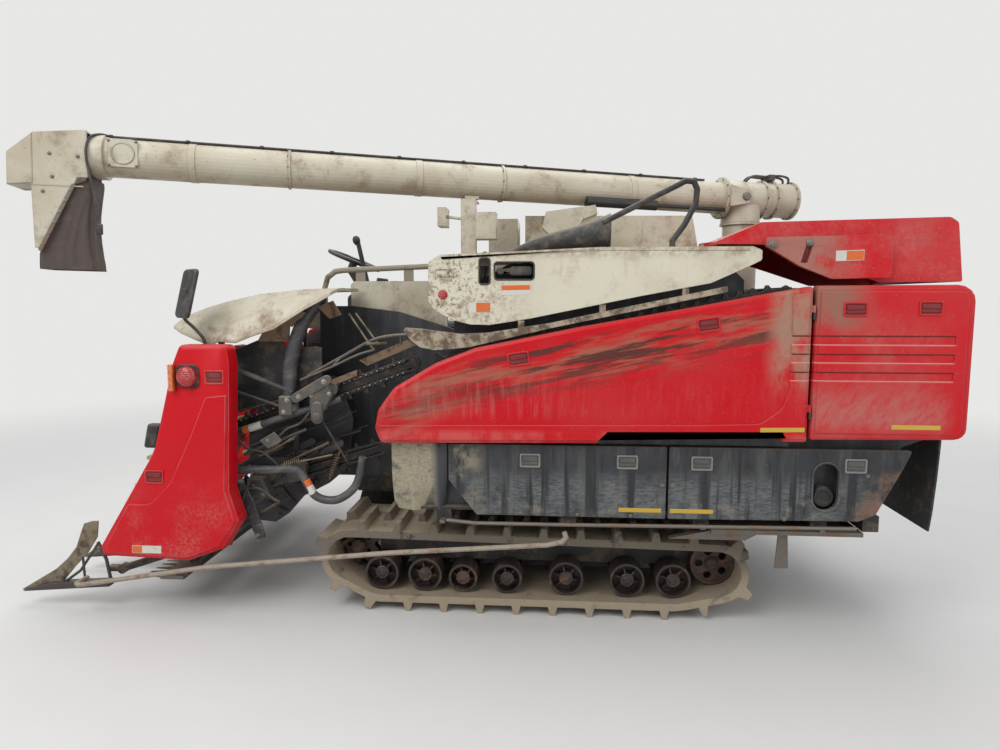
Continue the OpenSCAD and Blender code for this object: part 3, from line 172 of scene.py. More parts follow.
def band_shade_and_highlights(look, colour, reach):
    """Painted shade under the upper edge of each pressed band, and a painted highlight along its lower edge.
    """
    z = look.along("Z")
    for low, high in BANDS:
        shade = look.calc("COMPARE", z, high * MM - 0.002, 0.003)
        shine = look.calc("COMPARE", z, low * MM + 0.001, 0.0022)
        colour = look.stain(colour, (0.10, 0.012, 0.012), shade, reach, 0.8)
        colour = look.stain(colour, (0.72, 0.36, 0.33), shine, reach, 0.75)
    return colour


def door_marks(look, colour):
    """Dark smears under the front door's sloping edge, tan film above them and a dusty patch by the seam."""
    slope = 0.21
    lean = (0.0, math.atan(slope), 0.0)
    x, z = look.along("X"), look.along("Z")
    nose = look.calc("MAXIMUM", look.calc("MULTIPLY_ADD", x, 2.5, 0.125), 0.0)
    droop = look.calc("MULTIPLY", look.calc("POWER", nose, 2.0), 0.16)
    edge = look.calc("ADD", look.calc("MULTIPLY_ADD", x, slope, z), droop)
    under = look.every(look.band(edge, 0.98, 1.13), look.band(edge, 1.262, 1.235))
    film = look.noise(4.5, 6.0, 0.62, stretch=(0.6, 1.0, 3.5), shift=1.3, turn=lean)
    colour = look.stain(colour, (0.30, 0.13, 0.085), look.band(film, 0.44, 0.62), under, 0.75)
    smear = look.noise(3.4, 8.0, 0.66, stretch=(0.5, 1.0, 6.5), shift=4.2, turn=lean)
    rearward = look.band(x, 0.10, -0.35, 0.45, 1.0)
    near = look.band(x, -1.42, -1.34)
    colour = look.stain(
        colour, (0.075, 0.027, 0.02), look.band(smear, 0.485, 0.56), under, rearward, near, 0.93
    )
    cloud = look.noise(7.0, 6.0, 0.66, stretch=(1.0, 1.0, 0.6))
    seam = look.every(look.band(x, -1.33, -1.44), look.band(z, 1.08, 1.25), look.band(cloud, 0.36, 0.58))
    colour = look.stain(colour, (0.34, 0.225, 0.16), seam, 0.85)
    drip = look.noise(26.0, 6.0, 0.66, stretch=(1.8, 1.0, 0.2), shift=2.0)
    low = look.every(look.band(z, 1.25, 1.12), look.band(z, 0.98, 1.05))
    front = look.band(x, -0.75, 0.1, 0.25, 1.0)
    colour = look.stain(colour, (0.54, 0.20, 0.18), look.band(drip, 0.46, 0.68), low, front, 0.32)
    colour = look.stain(
        colour, (0.60, 0.15, 0.13), look.band(z, 0.965, 0.93), look.band(cloud, 0.4, 0.6), 0.45
    )
    # The pressed bands' painted shade and painted highlights
    return band_shade_and_highlights(look, colour, look.band(x, -1.462, -1.466))


def rear_marks(look, colour):
    """Pale scuffed haze over the rear door, with a tan patch at its upper front corner."""
    x, z = look.along("X"), look.along("Z")
    cloud = look.noise(3.4, 8.0, 0.62, stretch=(1.0, 1.0, 0.7), turn=(0.0, 0.6, 0.0))
    scratch = look.noise(34.0, 7.0, 0.72, stretch=(0.5, 1.0, 1.7), turn=(0.0, 0.95, 0.0))
    inner = look.every(look.band(x, -2.17, -2.06), look.band(z, 1.52, 1.36, 0.25, 1.0))
    haze = look.every(look.band(cloud, 0.34, 0.72), inner, look.band(scratch, 0.34, 0.66, 0.5, 1.0))
    colour = look.stain(colour, (0.44, 0.125, 0.105), haze, 0.7)
    lower = look.every(look.band(z, 1.20, 1.04), look.band(z, 0.955, 1.02), look.band(x, -2.17, -2.06))
    colour = look.stain(colour, (0.42, 0.19, 0.165), lower, look.band(scratch, 0.34, 0.62, 0.3, 1.0), 0.5)
    patch = look.every(look.band(x, -1.84, -1.64), look.band(z, 1.36, 1.46), look.band(cloud, 0.30, 0.52))
    colour = look.stain(colour, (0.26, 0.14, 0.10), patch, 0.85)
    # The pressed bands' painted shade and painted highlights
    return band_shade_and_highlights(look, colour, look.band(x, -2.136, -2.128))


def hood_marks(look, colour):
    """Tan film on the link plate and along the hood's front, and painted shade in the plate's slot."""
    x, z, y = look.along("X"), look.along("Z"), look.along("Y")
    cloud = look.noise(6.0, 6.0, 0.64)
    fine = look.noise(60.0, 4.0, 0.7)
    plate = look.every(look.band(y, 0.905, 0.912), look.band(x, -1.76, -1.55), look.band(cloud, 0.34, 0.56))
    colour = look.stain(colour, (0.27, 0.17, 0.125), plate, 0.75)
    film = look.every(look.band(cloud, 0.36, 0.72), look.band(fine, 0.30, 0.72, 0.3, 1.0), 0.5)
    colour = look.mix(film, colour, (0.46, 0.17, 0.15))
    lean = look.calc("ADD", look.calc("MULTIPLY", z, 0.285), x)
    # Painted shade: the slot in the link plate is coloured near black for its shadowed opening
    slot = look.every(look.band(lean, -1.0420, -1.0405), look.band(lean, -1.0130, -1.0145))
    high = look.every(look.band(z, 1.690, 1.693), look.band(z, 1.778, 1.774), look.band(y, 0.905, 0.912))
    return look.stain(colour, (0.012, 0.006, 0.006), slot, high)


def header_marks(look, colour):
    """A thin dusty haze low on the header's covers, and pale worn paint with a painted highlight on their
    creases.
    """
    cloud = look.noise(5.0, 6.0, 0.64)
    fine = look.noise(70.0, 4.0, 0.7)
    haze = look.every(
        look.band(look.along("Z"), 0.80, 0.40),
        look.band(cloud, 0.40, 0.66), look.band(fine, 0.35, 0.65), 0.45
    )
    colour = look.mix(haze, colour, (0.46, 0.17, 0.15))
    # Pale worn paint and a painted highlight along the creases
    return look.stain(colour, (0.70, 0.36, 0.33), look.edges(0.0045), look.band(cloud, 0.36, 0.56), 0.7)


def moulded_red(name, dust, scuff, marks=None):
    """Moulded red plastic, a little faded, with dust on its upper faces and scuffs along the machine."""
    look = Look(name, Specular_IOR_Level=0.22)
    cloud = look.noise(2.1, 5.0, 0.62)
    streak = look.noise(4.0, 7.0, 0.66, stretch=(0.8, 1.0, 5.0), shift=3.0)
    grit = look.noise(95.0, 3.0, 0.7)
    colour = look.mix(look.band(cloud, 0.42, 0.68, 0.0, 0.5 * dust), RED, RED_FADED)
    if marks:
        colour = marks(look, colour)
    dark = look.every(look.band(streak, 0.58, 0.68), 0.7 * scuff)
    colour = look.mix(dark, colour, STAIN)
    colour = look.stain(colour, DUST, look.band(grit, 0.60, 0.70), 0.22 * dust)
    upper = look.band(look.facing("Z"), 0.35, 0.95, 0.0, 0.5 * dust)
    colour = look.mix(upper, colour, (0.40, 0.15, 0.115))
    colour = look.stain(colour, (0.60, 0.11, 0.10), look.edges(0.006), 0.45)
    rough = look.band(look.calc("ADD", dark, look.band(cloud, 0.4, 0.7, 0.0, 0.4)), 0.0, 0.8, 0.32, 0.6)
    return look.finish(colour, rough, look.noise(300.0, 2.0), 0.0003, soft_edge=0.005)


def painted_cream(name, dirt, marks=None, base=CREAM):
    """Cream paint with beige dirt, brown speckles and a few rust runs."""
    look = Look(name)
    cloud = look.noise(2.3, 5.0, 0.62)
    patch = look.noise(7.5, 5.0, 0.68, shift=5.0)
    run = look.noise(9.0, 4.0, 0.6, stretch=(2.2, 2.2, 0.35))
    speck = look.noise(70.0, 3.0, 0.75)
    colour = look.mix(look.band(cloud, 0.35, 0.72, 0.0, 0.9 * dirt), base, CREAM_DULL)
    soil = look.calc("MULTIPLY", look.band(patch, 0.56 - 0.08 * dirt, 0.74), 0.85 * dirt)
    colour = look.mix(soil, colour, (0.24, 0.17, 0.105))
    runs = look.calc("MULTIPLY", look.band(run, 0.62, 0.74), 0.6 * dirt)
    colour = look.mix(runs, colour, (0.30, 0.19, 0.11))
    specks = look.calc("MULTIPLY", look.band(speck, 0.64, 0.71), 0.75 * dirt)
    colour = look.mix(specks, colour, (0.12, 0.075, 0.045))
    under = look.calc("MULTIPLY", look.band(look.facing("Z"), -0.2, -0.95), 0.35)
    colour = look.mix(under, colour, (0.22, 0.17, 0.12))
    worn = look.calc("MULTIPLY", look.edges(0.005), 0.6)
    colour = look.mix(worn, colour, (0.20, 0.12, 0.07))
    if marks:
        colour = marks(look, colour)
    rough = look.band(soil, 0.0, 0.6, 0.42, 0.72)
    return look.finish(colour, rough, look.noise(160.0, 3.0), 0.0003, soft_edge=0.004)


def sheet_marks(look, colour):
    """Dry dusty fields low on the covers, water runs over them, and rust at the rear corner."""
    x, z = look.along("X"), look.along("Z")
    cloud = look.noise(6.0, 7.0, 0.68)
    fine = look.noise(120.0, 3.0, 0.7, stretch=(0.3, 1.0, 1.4))
    wet = look.noise(10.0, 3.0, 0.55, stretch=(1.7, 1.0, 0.07), shift=9.0)
    dry = look.every(look.band(z, 0.79, 0.68), look.band(wet, 0.60, 0.50), look.band(cloud, 0.32, 0.52))
    colour = look.stain(colour, (0.155, 0.165, 0.165), dry, look.band(fine, 0.38, 0.60, 0.3, 1.0), 0.7)
    wetness = look.every(look.band(wet, 0.55, 0.62), look.band(z, 0.56, 0.60))
    colour = look.stain(colour, (0.008, 0.009, 0.012), wetness, 0.8)
    clod = look.every(look.band(x, -0.16, -0.06), look.band(cloud, 0.46, 0.60), 0.8)
    colour = look.mix(clod, colour, (0.24, 0.215, 0.15))
    slant = look.calc("ADD", x, look.calc("MULTIPLY", z, 0.5))
    rear = look.every(look.band(slant, -1.45, -1.53), look.band(cloud, 0.36, 0.50))
    rust = look.mix(look.noise(30.0, 5.0, 0.7), (0.07, 0.035, 0.025), (0.26, 0.13, 0.085))
    return look.stain(colour, rust, rear, look.band(z, 0.80, 0.76), 0.9)


def streaked_navy(name, base, mud, marks=None):
    """Dark sheet with water streaks down it, splashed mud near its foot and dust on its edges."""
    look = Look(name)
    sheet = look.noise(2.4, 4.0, 0.6)
    run = look.noise(11.0, 5.0, 0.62, stretch=(1.6, 1.6, 0.18))
    splash = look.noise(9.0, 6.0, 0.7)
    speck = look.noise(85.0, 3.0, 0.75)
    colour = look.mix(look.band(sheet, 0.40, 0.66, 0.0, 0.55), base, (0.044, 0.046, 0.050))
    colour = look.mix(look.band(run, 0.50, 0.64, 0.0, 0.5 * mud), colour, (0.078, 0.078, 0.074))
    colour = look.mix(look.band(run, 0.44, 0.38, 0.0, 0.85 * mud), colour, (0.010, 0.011, 0.014))
    low = look.band(look.along("Z"), 0.80, 0.55)
    splashed = look.calc("MULTIPLY", look.band(splash, 0.52, 0.70), look.calc("ADD", low, 0.08))
    colour = look.mix(look.calc("MULTIPLY", splashed, mud), colour, (0.19, 0.165, 0.125))
    specks = look.calc("MULTIPLY", look.band(speck, 0.62, 0.70), 0.35 * mud)
    colour = look.mix(specks, colour, (0.20, 0.18, 0.15))
    if marks:
        colour = marks(look, colour)
    upper = look.band(look.facing("Z"), 0.4, 0.95, 0.0, 0.6 * mud)
    colour = look.mix(upper, colour, (0.20, 0.17, 0.13))
    worn = look.calc("MULTIPLY", look.edges(0.004), 0.5)
    colour = look.mix(worn, colour, (0.20, 0.185, 0.16))
    return look.finish(colour, look.band(splash, 0.3, 0.7, 0.42, 0.75), speck, 0.0006, soft_edge=0.004)


def dirty_metal(name, base, over, cover, metallic=0.0, rough=(0.45, 0.8), scale=9.0, dust=0.4):
    """Metal or iron under rust, oil or mud. cover is the share that the second colour takes."""
    look = Look(name, Metallic=metallic)
    patch = look.noise(scale, 6.0, 0.68)
    fine = look.noise(scale * 9.0, 4.0, 0.7)
    colour = look.mix(look.band(patch, 0.66 - 0.42 * cover, 0.80 - 0.36 * cover), base, over)
    colour = look.mix(look.band(fine, 0.58, 0.72, 0.0, 0.55), colour, over)
    upper = look.band(look.facing("Z"), 0.3, 0.95, 0.0, dust)
    colour = look.mix(upper, colour, DUST)
    worn = look.calc("MULTIPLY", look.edges(0.003), 0.4)
    colour = look.mix(worn, colour, STEEL if metallic else (0.20, 0.17, 0.13))
    return look.finish(colour, look.band(patch, 0.3, 0.7, *rough), fine, 0.0008, soft_edge=0.003)


def muddy_rubber(name):
    """Track rubber: tan mud on the tread and the lugs, dark damp rubber on the sides."""
    look = Look(name)
    clod = look.noise(11.0, 6.0, 0.7)
    fine = look.noise(80.0, 4.0, 0.7)
    side = look.band(look.calc("ABSOLUTE", look.facing("Y")), 0.5, 0.9)
    low = look.every(side, look.band(look.along("Z"), 0.16, 0.30))
    share = look.calc("SUBTRACT", look.band(clod, 0.22, 0.46), look.calc("MULTIPLY", low, 0.6))
    colour = look.mix(share, RUBBER, MUD)
    colour = look.mix(look.band(fine, 0.55, 0.72, 0.0, 0.5), colour, DARK_MUD)
    colour = look.mix(look.band(look.along("Z"), 0.10, 0.02, 0.0, 0.75), colour, MUD)
    height = look.calc("ADD", look.calc("MULTIPLY", clod, 0.8), look.calc("MULTIPLY", fine, 0.2))
    return look.finish(colour, look.band(clod, 0.3, 0.6, 0.85, 0.7), height, 0.006, soft_edge=0.006)


def plain_plastic(name, base, dust=0.3, rough=0.5):
    look = Look(name)
    patch = look.noise(14.0, 5.0, 0.65)
    fine = look.noise(180.0, 3.0, 0.6)
    colour = look.mix(look.band(patch, 0.45, 0.75, 0.0, dust), base, DUST)
    upper = look.band(look.facing("Z"), 0.4, 0.95, 0.0, dust)
    colour = look.mix(upper, colour, DUST)
    return look.finish(colour, look.band(patch, 0.3, 0.7, rough, rough + 0.25), fine, 0.0004, soft_edge=0.003)


def buckled_rubber(name):
    """Mud guard: dark rubber under a film of tan mud that ends at its rear edge."""
    look = Look(name)
    x, z = look.along("X"), look.along("Z")
    cloud = look.noise(9.0, 7.0, 0.68)
    fine = look.noise(90.0, 4.0, 0.7)
    film = look.every(look.band(x, 0.075, 0.125), look.band(cloud, 0.26, 0.50))
    colour = look.mix(
        look.every(film, look.band(fine, 0.3, 0.6, 0.55, 1.0)), (0.045, 0.047, 0.055), (0.34, 0.30, 0.21)
    )
    slant = look.calc("ADD", x, look.calc("MULTIPLY", z, 0.42))
    fold = look.every(look.band(slant, 0.40, 0.385), look.band(x, 0.098, 0.11))
    colour = look.stain(colour, (0.075, 0.075, 0.08), fold, look.band(z, 0.69, 0.66), 0.7)
    return look.finish(
        colour, 0.75, look.calc("ADD", cloud, look.calc("MULTIPLY", fine, 0.2)), 0.004, soft_edge=0.004
    )


def clear_lens(name, base):
    look = Look(name, Transmission_Weight=0.15, IOR=1.49, Coat_Weight=0.5)
    ribs = look.node("TexWave", "Fac", {"Vector": look.place, "Scale": 38.0}, bands_direction="Z")
    grime = look.noise(26.0, 4.0, 0.65)
    colour = look.mix(look.band(grime, 0.5, 0.8, 0.0, 0.5), base, DUST)
    return look.finish(colour, 0.22, ribs, 0.0012, soft_edge=0.002)


def leather(name):
    look = Look(name)
    grain = look.node("TexVoronoi", "Distance", {"Vector": look.place, "Scale": 260.0})
    wear = look.noise(8.0, 4.0, 0.6)
    colour = look.mix(look.band(wear, 0.45, 0.7, 0.0, 0.5), (0.022, 0.022, 0.024), (0.11, 0.10, 0.09))
    return look.finish(colour, look.band(wear, 0.3, 0.7, 0.42, 0.62), grain, 0.0006)


def cover_marks(look, colour):
    """Brown splashes at the front of the cream cover, and straw dust along its top."""
    x, z = look.along("X"), look.along("Z")
    splash = look.noise(17.0, 6.0, 0.72)
    speck = look.noise(60.0, 4.0, 0.75, shift=7.0)
    front = look.band(x, -0.42, 0.04, 0.0, 1.0)
    colour = look.stain(colour, (0.27, 0.185, 0.11), look.band(splash, 0.47, 0.62), front, 0.85)
    colour = look.stain(colour, (0.10, 0.062, 0.036), look.band(speck, 0.52, 0.64), front, 0.9)
    top = look.band(z, 1.70, 1.75)
    return look.stain(colour, (0.25, 0.18, 0.11), look.band(splash, 0.40, 0.60), top, 0.75)


def boom_marks(look, colour):
    """Black box and pipe under the auger tube, and the brown canvas sock in its spout."""
    place = look.turned(tuple(BOOM_PIVOT), (0.0, BOOM_RISE, BOOM_TURN))
    s, t, h = (look.along(axis, place) for axis in "XYZ")
    radius = look.calc("SQRT", look.calc("ADD", look.calc("POWER", t, 2.0), look.calc("POWER", h, 2.0)))
    box = look.every(
        look.calc("GREATER_THAN", radius, 0.0925), look.calc("LESS_THAN", h, -0.02),
        look.calc("GREATER_THAN", t, 0.0),
        look.calc("GREATER_THAN", s, 0.105), look.calc("LESS_THAN", s, 0.975)
    )
    colour = look.mix(box, colour, BLACK)
    mouth = look.calc("MULTIPLY_ADD", h, -0.477, 3.4115)
    inside = look.every(look.calc("LESS_THAN", h, -0.112), look.calc("LESS_THAN", s, mouth))
    below = look.every(look.calc("LESS_THAN", h, -0.4505), look.calc("GREATER_THAN", s, 3.2))
    canvas = look.calc("MAXIMUM", inside, below)
    weave = look.noise(40.0, 4.0, 0.7)
    return look.mix(canvas, colour, look.mix(weave, (0.055, 0.038, 0.034), (0.13, 0.10, 0.09)))


def washed_iron(name, base, over, streak=0.5):
    """Dark iron with lighter dust in long worn streaks."""
    look = Look(name)
    worn = look.noise(9.0, 6.0, 0.7, stretch=(0.5, 0.5, 2.2), turn=(0.0, 0.5, 0.0))
    fine = look.noise(110.0, 3.0, 0.7)
    colour = look.mix(look.band(worn, 0.50, 0.66, 0.0, streak), base, over)
    colour = look.mix(look.band(fine, 0.58, 0.70, 0.0, 0.35), colour, over)
    return look.finish(colour, look.band(worn, 0.4, 0.6, 0.4, 0.7), fine, 0.0006, soft_edge=0.003)


# Every look of the machine, under its name
LOOKS = {look.name: look for look in (
    moulded_red("red_door", 0.6, 0.1, door_marks),
    moulded_red("red_rear", 0.8, 0.1, rear_marks),
    moulded_red("red_header", 0.25, 0.05, header_marks),
    moulded_red("red_hood", 1.5, 0.25, hood_marks),
    moulded_red("red_body", 0.7, 0.4),
    painted_cream("cream_clean", 0.6, cover_marks),
    painted_cream("cream_dirty", 1.15, base=CREAM_AGED),
    painted_cream("cream_tube", 0.85, base=CREAM_AGED),
    painted_cream("cream_boom", 0.95, boom_marks, CREAM_AGED),
    streaked_navy("navy", NAVY, 1.0, sheet_marks),
    streaked_navy("case", CASE, 0.7),
    dirty_metal("frame", BLACK, DARK_MUD, 0.45),
    washed_iron("roller", (0.030, 0.021, 0.019), (0.15, 0.075, 0.045), 0.75),
    washed_iron("idler", (0.045, 0.028, 0.022), (0.20, 0.095, 0.05), 0.8),
    dirty_metal("chain", (0.020, 0.018, 0.018), (0.085, 0.055, 0.035), 0.35, 0.5, (0.35, 0.7), 16.0, 0.15),
    dirty_metal("steel", (0.16, 0.145, 0.13), (0.20, 0.13, 0.08), 0.45, 0.7, (0.35, 0.7), 14.0),
    dirty_metal("divider", (0.20, 0.16, 0.105), (0.075, 0.048, 0.032), 0.45, 0.2, (0.5, 0.8), 12.0, 0.25),
    dirty_metal("rod", (0.30, 0.255, 0.20), (0.20, 0.13, 0.085), 0.4, 0.1, (0.45, 0.75), 20.0),
    dirty_metal("engine", (0.12, 0.12, 0.12), DARK_MUD, 0.45),
    muddy_rubber("track"),
    buckled_rubber("guard"),
    plain_plastic("flap", (0.017, 0.015, 0.015), 0.25, 0.6),
    plain_plastic("black", BLACK, 0.25, 0.42),
    dirty_metal("rail", (0.37, 0.31, 0.22), (0.11, 0.075, 0.05), 0.6, 0.0, (0.5, 0.85), 15.0, 0.5),
    dirty_metal("handrail", (0.25, 0.215, 0.16), (0.10, 0.07, 0.05), 0.35),
    plain_plastic("tine", (0.42, 0.33, 0.12), 0.5, 0.5),
    clear_lens("lens", (0.75, 0.16, 0.02)),
    clear_lens("lens_orange", (0.75, 0.16, 0.02)),
    clear_lens("lens_red", (0.42, 0.008, 0.012)),
    clear_lens("glass", (0.30, 0.32, 0.33)),
    Look("mirror", Metallic=1.0).finish((0.75, 0.77, 0.78), 0.06),
    # Painted shade: a darker copy of the red for the floors and pull bars of recessed grips
    plain_plastic("grip_shaded", (0.17, 0.008, 0.010), 0.12, 0.45),
    plain_plastic("latch", (0.20, 0.20, 0.185), 0.2, 0.45),
    # Painted shade: a darker copy of the latch grey for the floors of the low covers' grips
    plain_plastic("latch_floor_shaded", (0.07, 0.072, 0.07), 0.2, 0.45),
    plain_plastic("cable", (0.022, 0.022, 0.024), 0.3, 0.45),
    plain_plastic("tape_yellow", (0.52, 0.34, 0.035), 0.3, 0.5),
    plain_plastic("tape_orange", (0.62, 0.12, 0.015), 0.25, 0.5),
    plain_plastic("label_white", (0.58, 0.56, 0.50), 0.35, 0.5),
    dirty_metal("bright", (0.36, 0.33, 0.29), (0.13, 0.085, 0.05), 0.35, 0.8, (0.3, 0.6), 18.0, 0.1),
    dirty_metal("gearbox", (0.085, 0.08, 0.075), (0.16, 0.125, 0.09), 0.4, 0.2, (0.5, 0.8), 12.0, 0.6),
    dirty_metal("spring", (0.20, 0.14, 0.085), (0.08, 0.045, 0.025), 0.4, 0.4, (0.4, 0.7), 24.0, 0.3),
    dirty_metal("rusty", (0.19, 0.125, 0.075), (0.08, 0.04, 0.025), 0.4, 0.1, (0.6, 0.85), 16.0, 0.2),
    washed_iron("chipped", (0.028, 0.025, 0.026), (0.42, 0.40, 0.38), 0.8),
    washed_iron("pipe", (0.048, 0.046, 0.05), (0.15, 0.135, 0.12), 0.7),
    plain_plastic("canvas", (0.075, 0.055, 0.05), 0.16, 0.8),
    plain_plastic("duct", (0.020, 0.020, 0.022), 0.35, 0.45),
    washed_iron("skid", (0.040, 0.034, 0.032), (0.17, 0.125, 0.09), 0.6),
    leather("vinyl"),
)}

# Which look each CAD node takes
LOOK_OF = {
    "track": ["track_left", "track_right"],
    "frame": [
        "track_frames", "transmission", "chassis_frame", "lashing_eyes", "header_frame", "header_pipes"
    ],
    "roller": ["rollers"],
    "idler": ["sprockets", "idlers"],
    "engine": ["engine", "belt_drive"],
    "case": ["threshing_case", "straw_chopper", "platform", "control_tower"],
    "chain": ["feed_chain", "conveyors"],
    "rail": ["feed_rail"],
    "cream_clean": ["threshing_cover"],
    "cream_dirty": [
        "grain_tank", "vertical_auger", "elevator_head", "auger_rest", "header_top", "inner_panel",
        "intake_box"
    ],
    "cream_tube": ["auger_head"],
    "cream_boom": ["auger_tube", "auger_spout"],
    "guard": ["mud_guard"],
    "navy": ["low_cover_front", "low_cover_rear"],
    "steel": ["guard_rail", "cutter_bar"],
    "rod": ["guide_rod"],
    "divider": ["dividers"],
    "flap": ["rear_flap", "dust_duct"],
    "black": ["grab_handle", "steering_wheel", "side_mirror"],
    "handrail": ["handrail"],
    "red_door": ["side_door_front"],
    "red_body": ["engine_cover"],
    "red_rear": ["side_door_rear"],
    "red_header": ["header_covers", "lifter_cases"],
    "red_hood": ["rear_hood"],
    "tine": ["lifter_tines"],
    "lens": ["lamps"],
    "vinyl": ["seat"],
}


def dress_frame():
    """Gives each CAD node its look."""
    for look, names in LOOK_OF.items():
        for name in names:
            piece = NODES[name]
            for k in range(len(piece.material_slots)):
                piece.material_slots[k].material = LOOKS[look]


# Frames along the slewing head and along the boom, at rest
HEAD_PLACE = Matrix.Translation(SLEW) @ Matrix.Rotation(BOOM_TURN, 4, "Z")
BOOM_PLACE = (
    HEAD_PLACE @ Matrix.Translation(LIFT_OFFSET) @ Matrix.Rotation(BOOM_RISE, 4, "Y")
    @ Matrix.Translation(-LIFT_OFFSET)
)
# Turns a plate that faces left so that it faces another way
FACES_REAR = Matrix.Rotation(math.radians(90.0), 4, "Z")
FACES_FRONT = Matrix.Rotation(math.radians(-90.0), 4, "Z")


def rounded(rows, steps=4):
    """A closed outline from rows of (u, v, corner radius)."""
    points = []
    for k, (u, v, radius) in enumerate(rows):
        here = Vector((u, v))
        back = (Vector(rows[k - 1][:2]) - here).normalized()
        ahead = (Vector(rows[(k + 1) % len(rows)][:2]) - here).normalized()
        if radius == 0:
            points.append((u, v))
            continue
        half = back.angle(ahead) / 2
        start, end = here + back * (radius / math.tan(half)), here + ahead * (radius / math.tan(half))
        centre = here + (back + ahead).normalized() * (radius / math.sin(half))
        for i in range(steps + 1):
            points.append(tuple(centre + (start.lerp(end, i / steps) - centre).normalized() * radius))
    return points


def oblong(low, high, radius, steps=4):
    """A rectangle with round corners."""
    (left, foot), (right, top) = low, high
    return rounded(
        [(left, foot, radius), (right, foot, radius), (right, top, radius), (left, top, radius)], steps
    )


def capsule(start, end, radius, steps=6):
    """The outline of a flat link with round ends."""
    angle = math.atan2(end[1] - start[1], end[0] - start[0])
    return [
        (centre[0] + radius * math.cos(angle + turn), centre[1] + radius * math.sin(angle + turn))
        for centre, first in ((end, -math.pi / 2), (start, math.pi / 2))
        for turn in (first + math.pi * k / steps for k in range(steps + 1))
    ]


def inset(points, depth):
    """The outline moved inwards by depth."""
    count = len(points)
    area = sum(a[0] * b[1] - b[0] * a[1] for a, b in zip(points, points[1:] + points[:1]))
    side = math.copysign(1.0, area)
    moved = []
    for k in range(count):
        here, back, ahead = (Vector(points[i % count]) for i in (k, k - 1, k + 1))
        u, v = (here - back).normalized(), (ahead - here).normalized()
        first, second = Vector((-u.y, u.x)) * side, Vector((-v.y, v.x)) * side
        middle = (first + second).normalized()
        moved.append(tuple(here + middle * depth / max(middle.dot(first), 0.4)))
    return moved


def flowing(points, steps=6):
    """A smooth path through the points."""
    rows = [Vector(p) for p in points]
    rows = [2 * rows[0] - rows[1]] + rows + [2 * rows[-1] - rows[-2]]
    path = []
    for a, b, c, d in zip(rows, rows[1:], rows[2:], rows[3:]):
        for k in range(steps):
            t = k / steps
            path.append(0.5 * (
                2 * b + (c - a) * t + (2 * a - 5 * b + 4 * c - d) * t * t + (3 * b - a - 3 * c + d) * t ** 3
            ))
    return path + [rows[-2]]


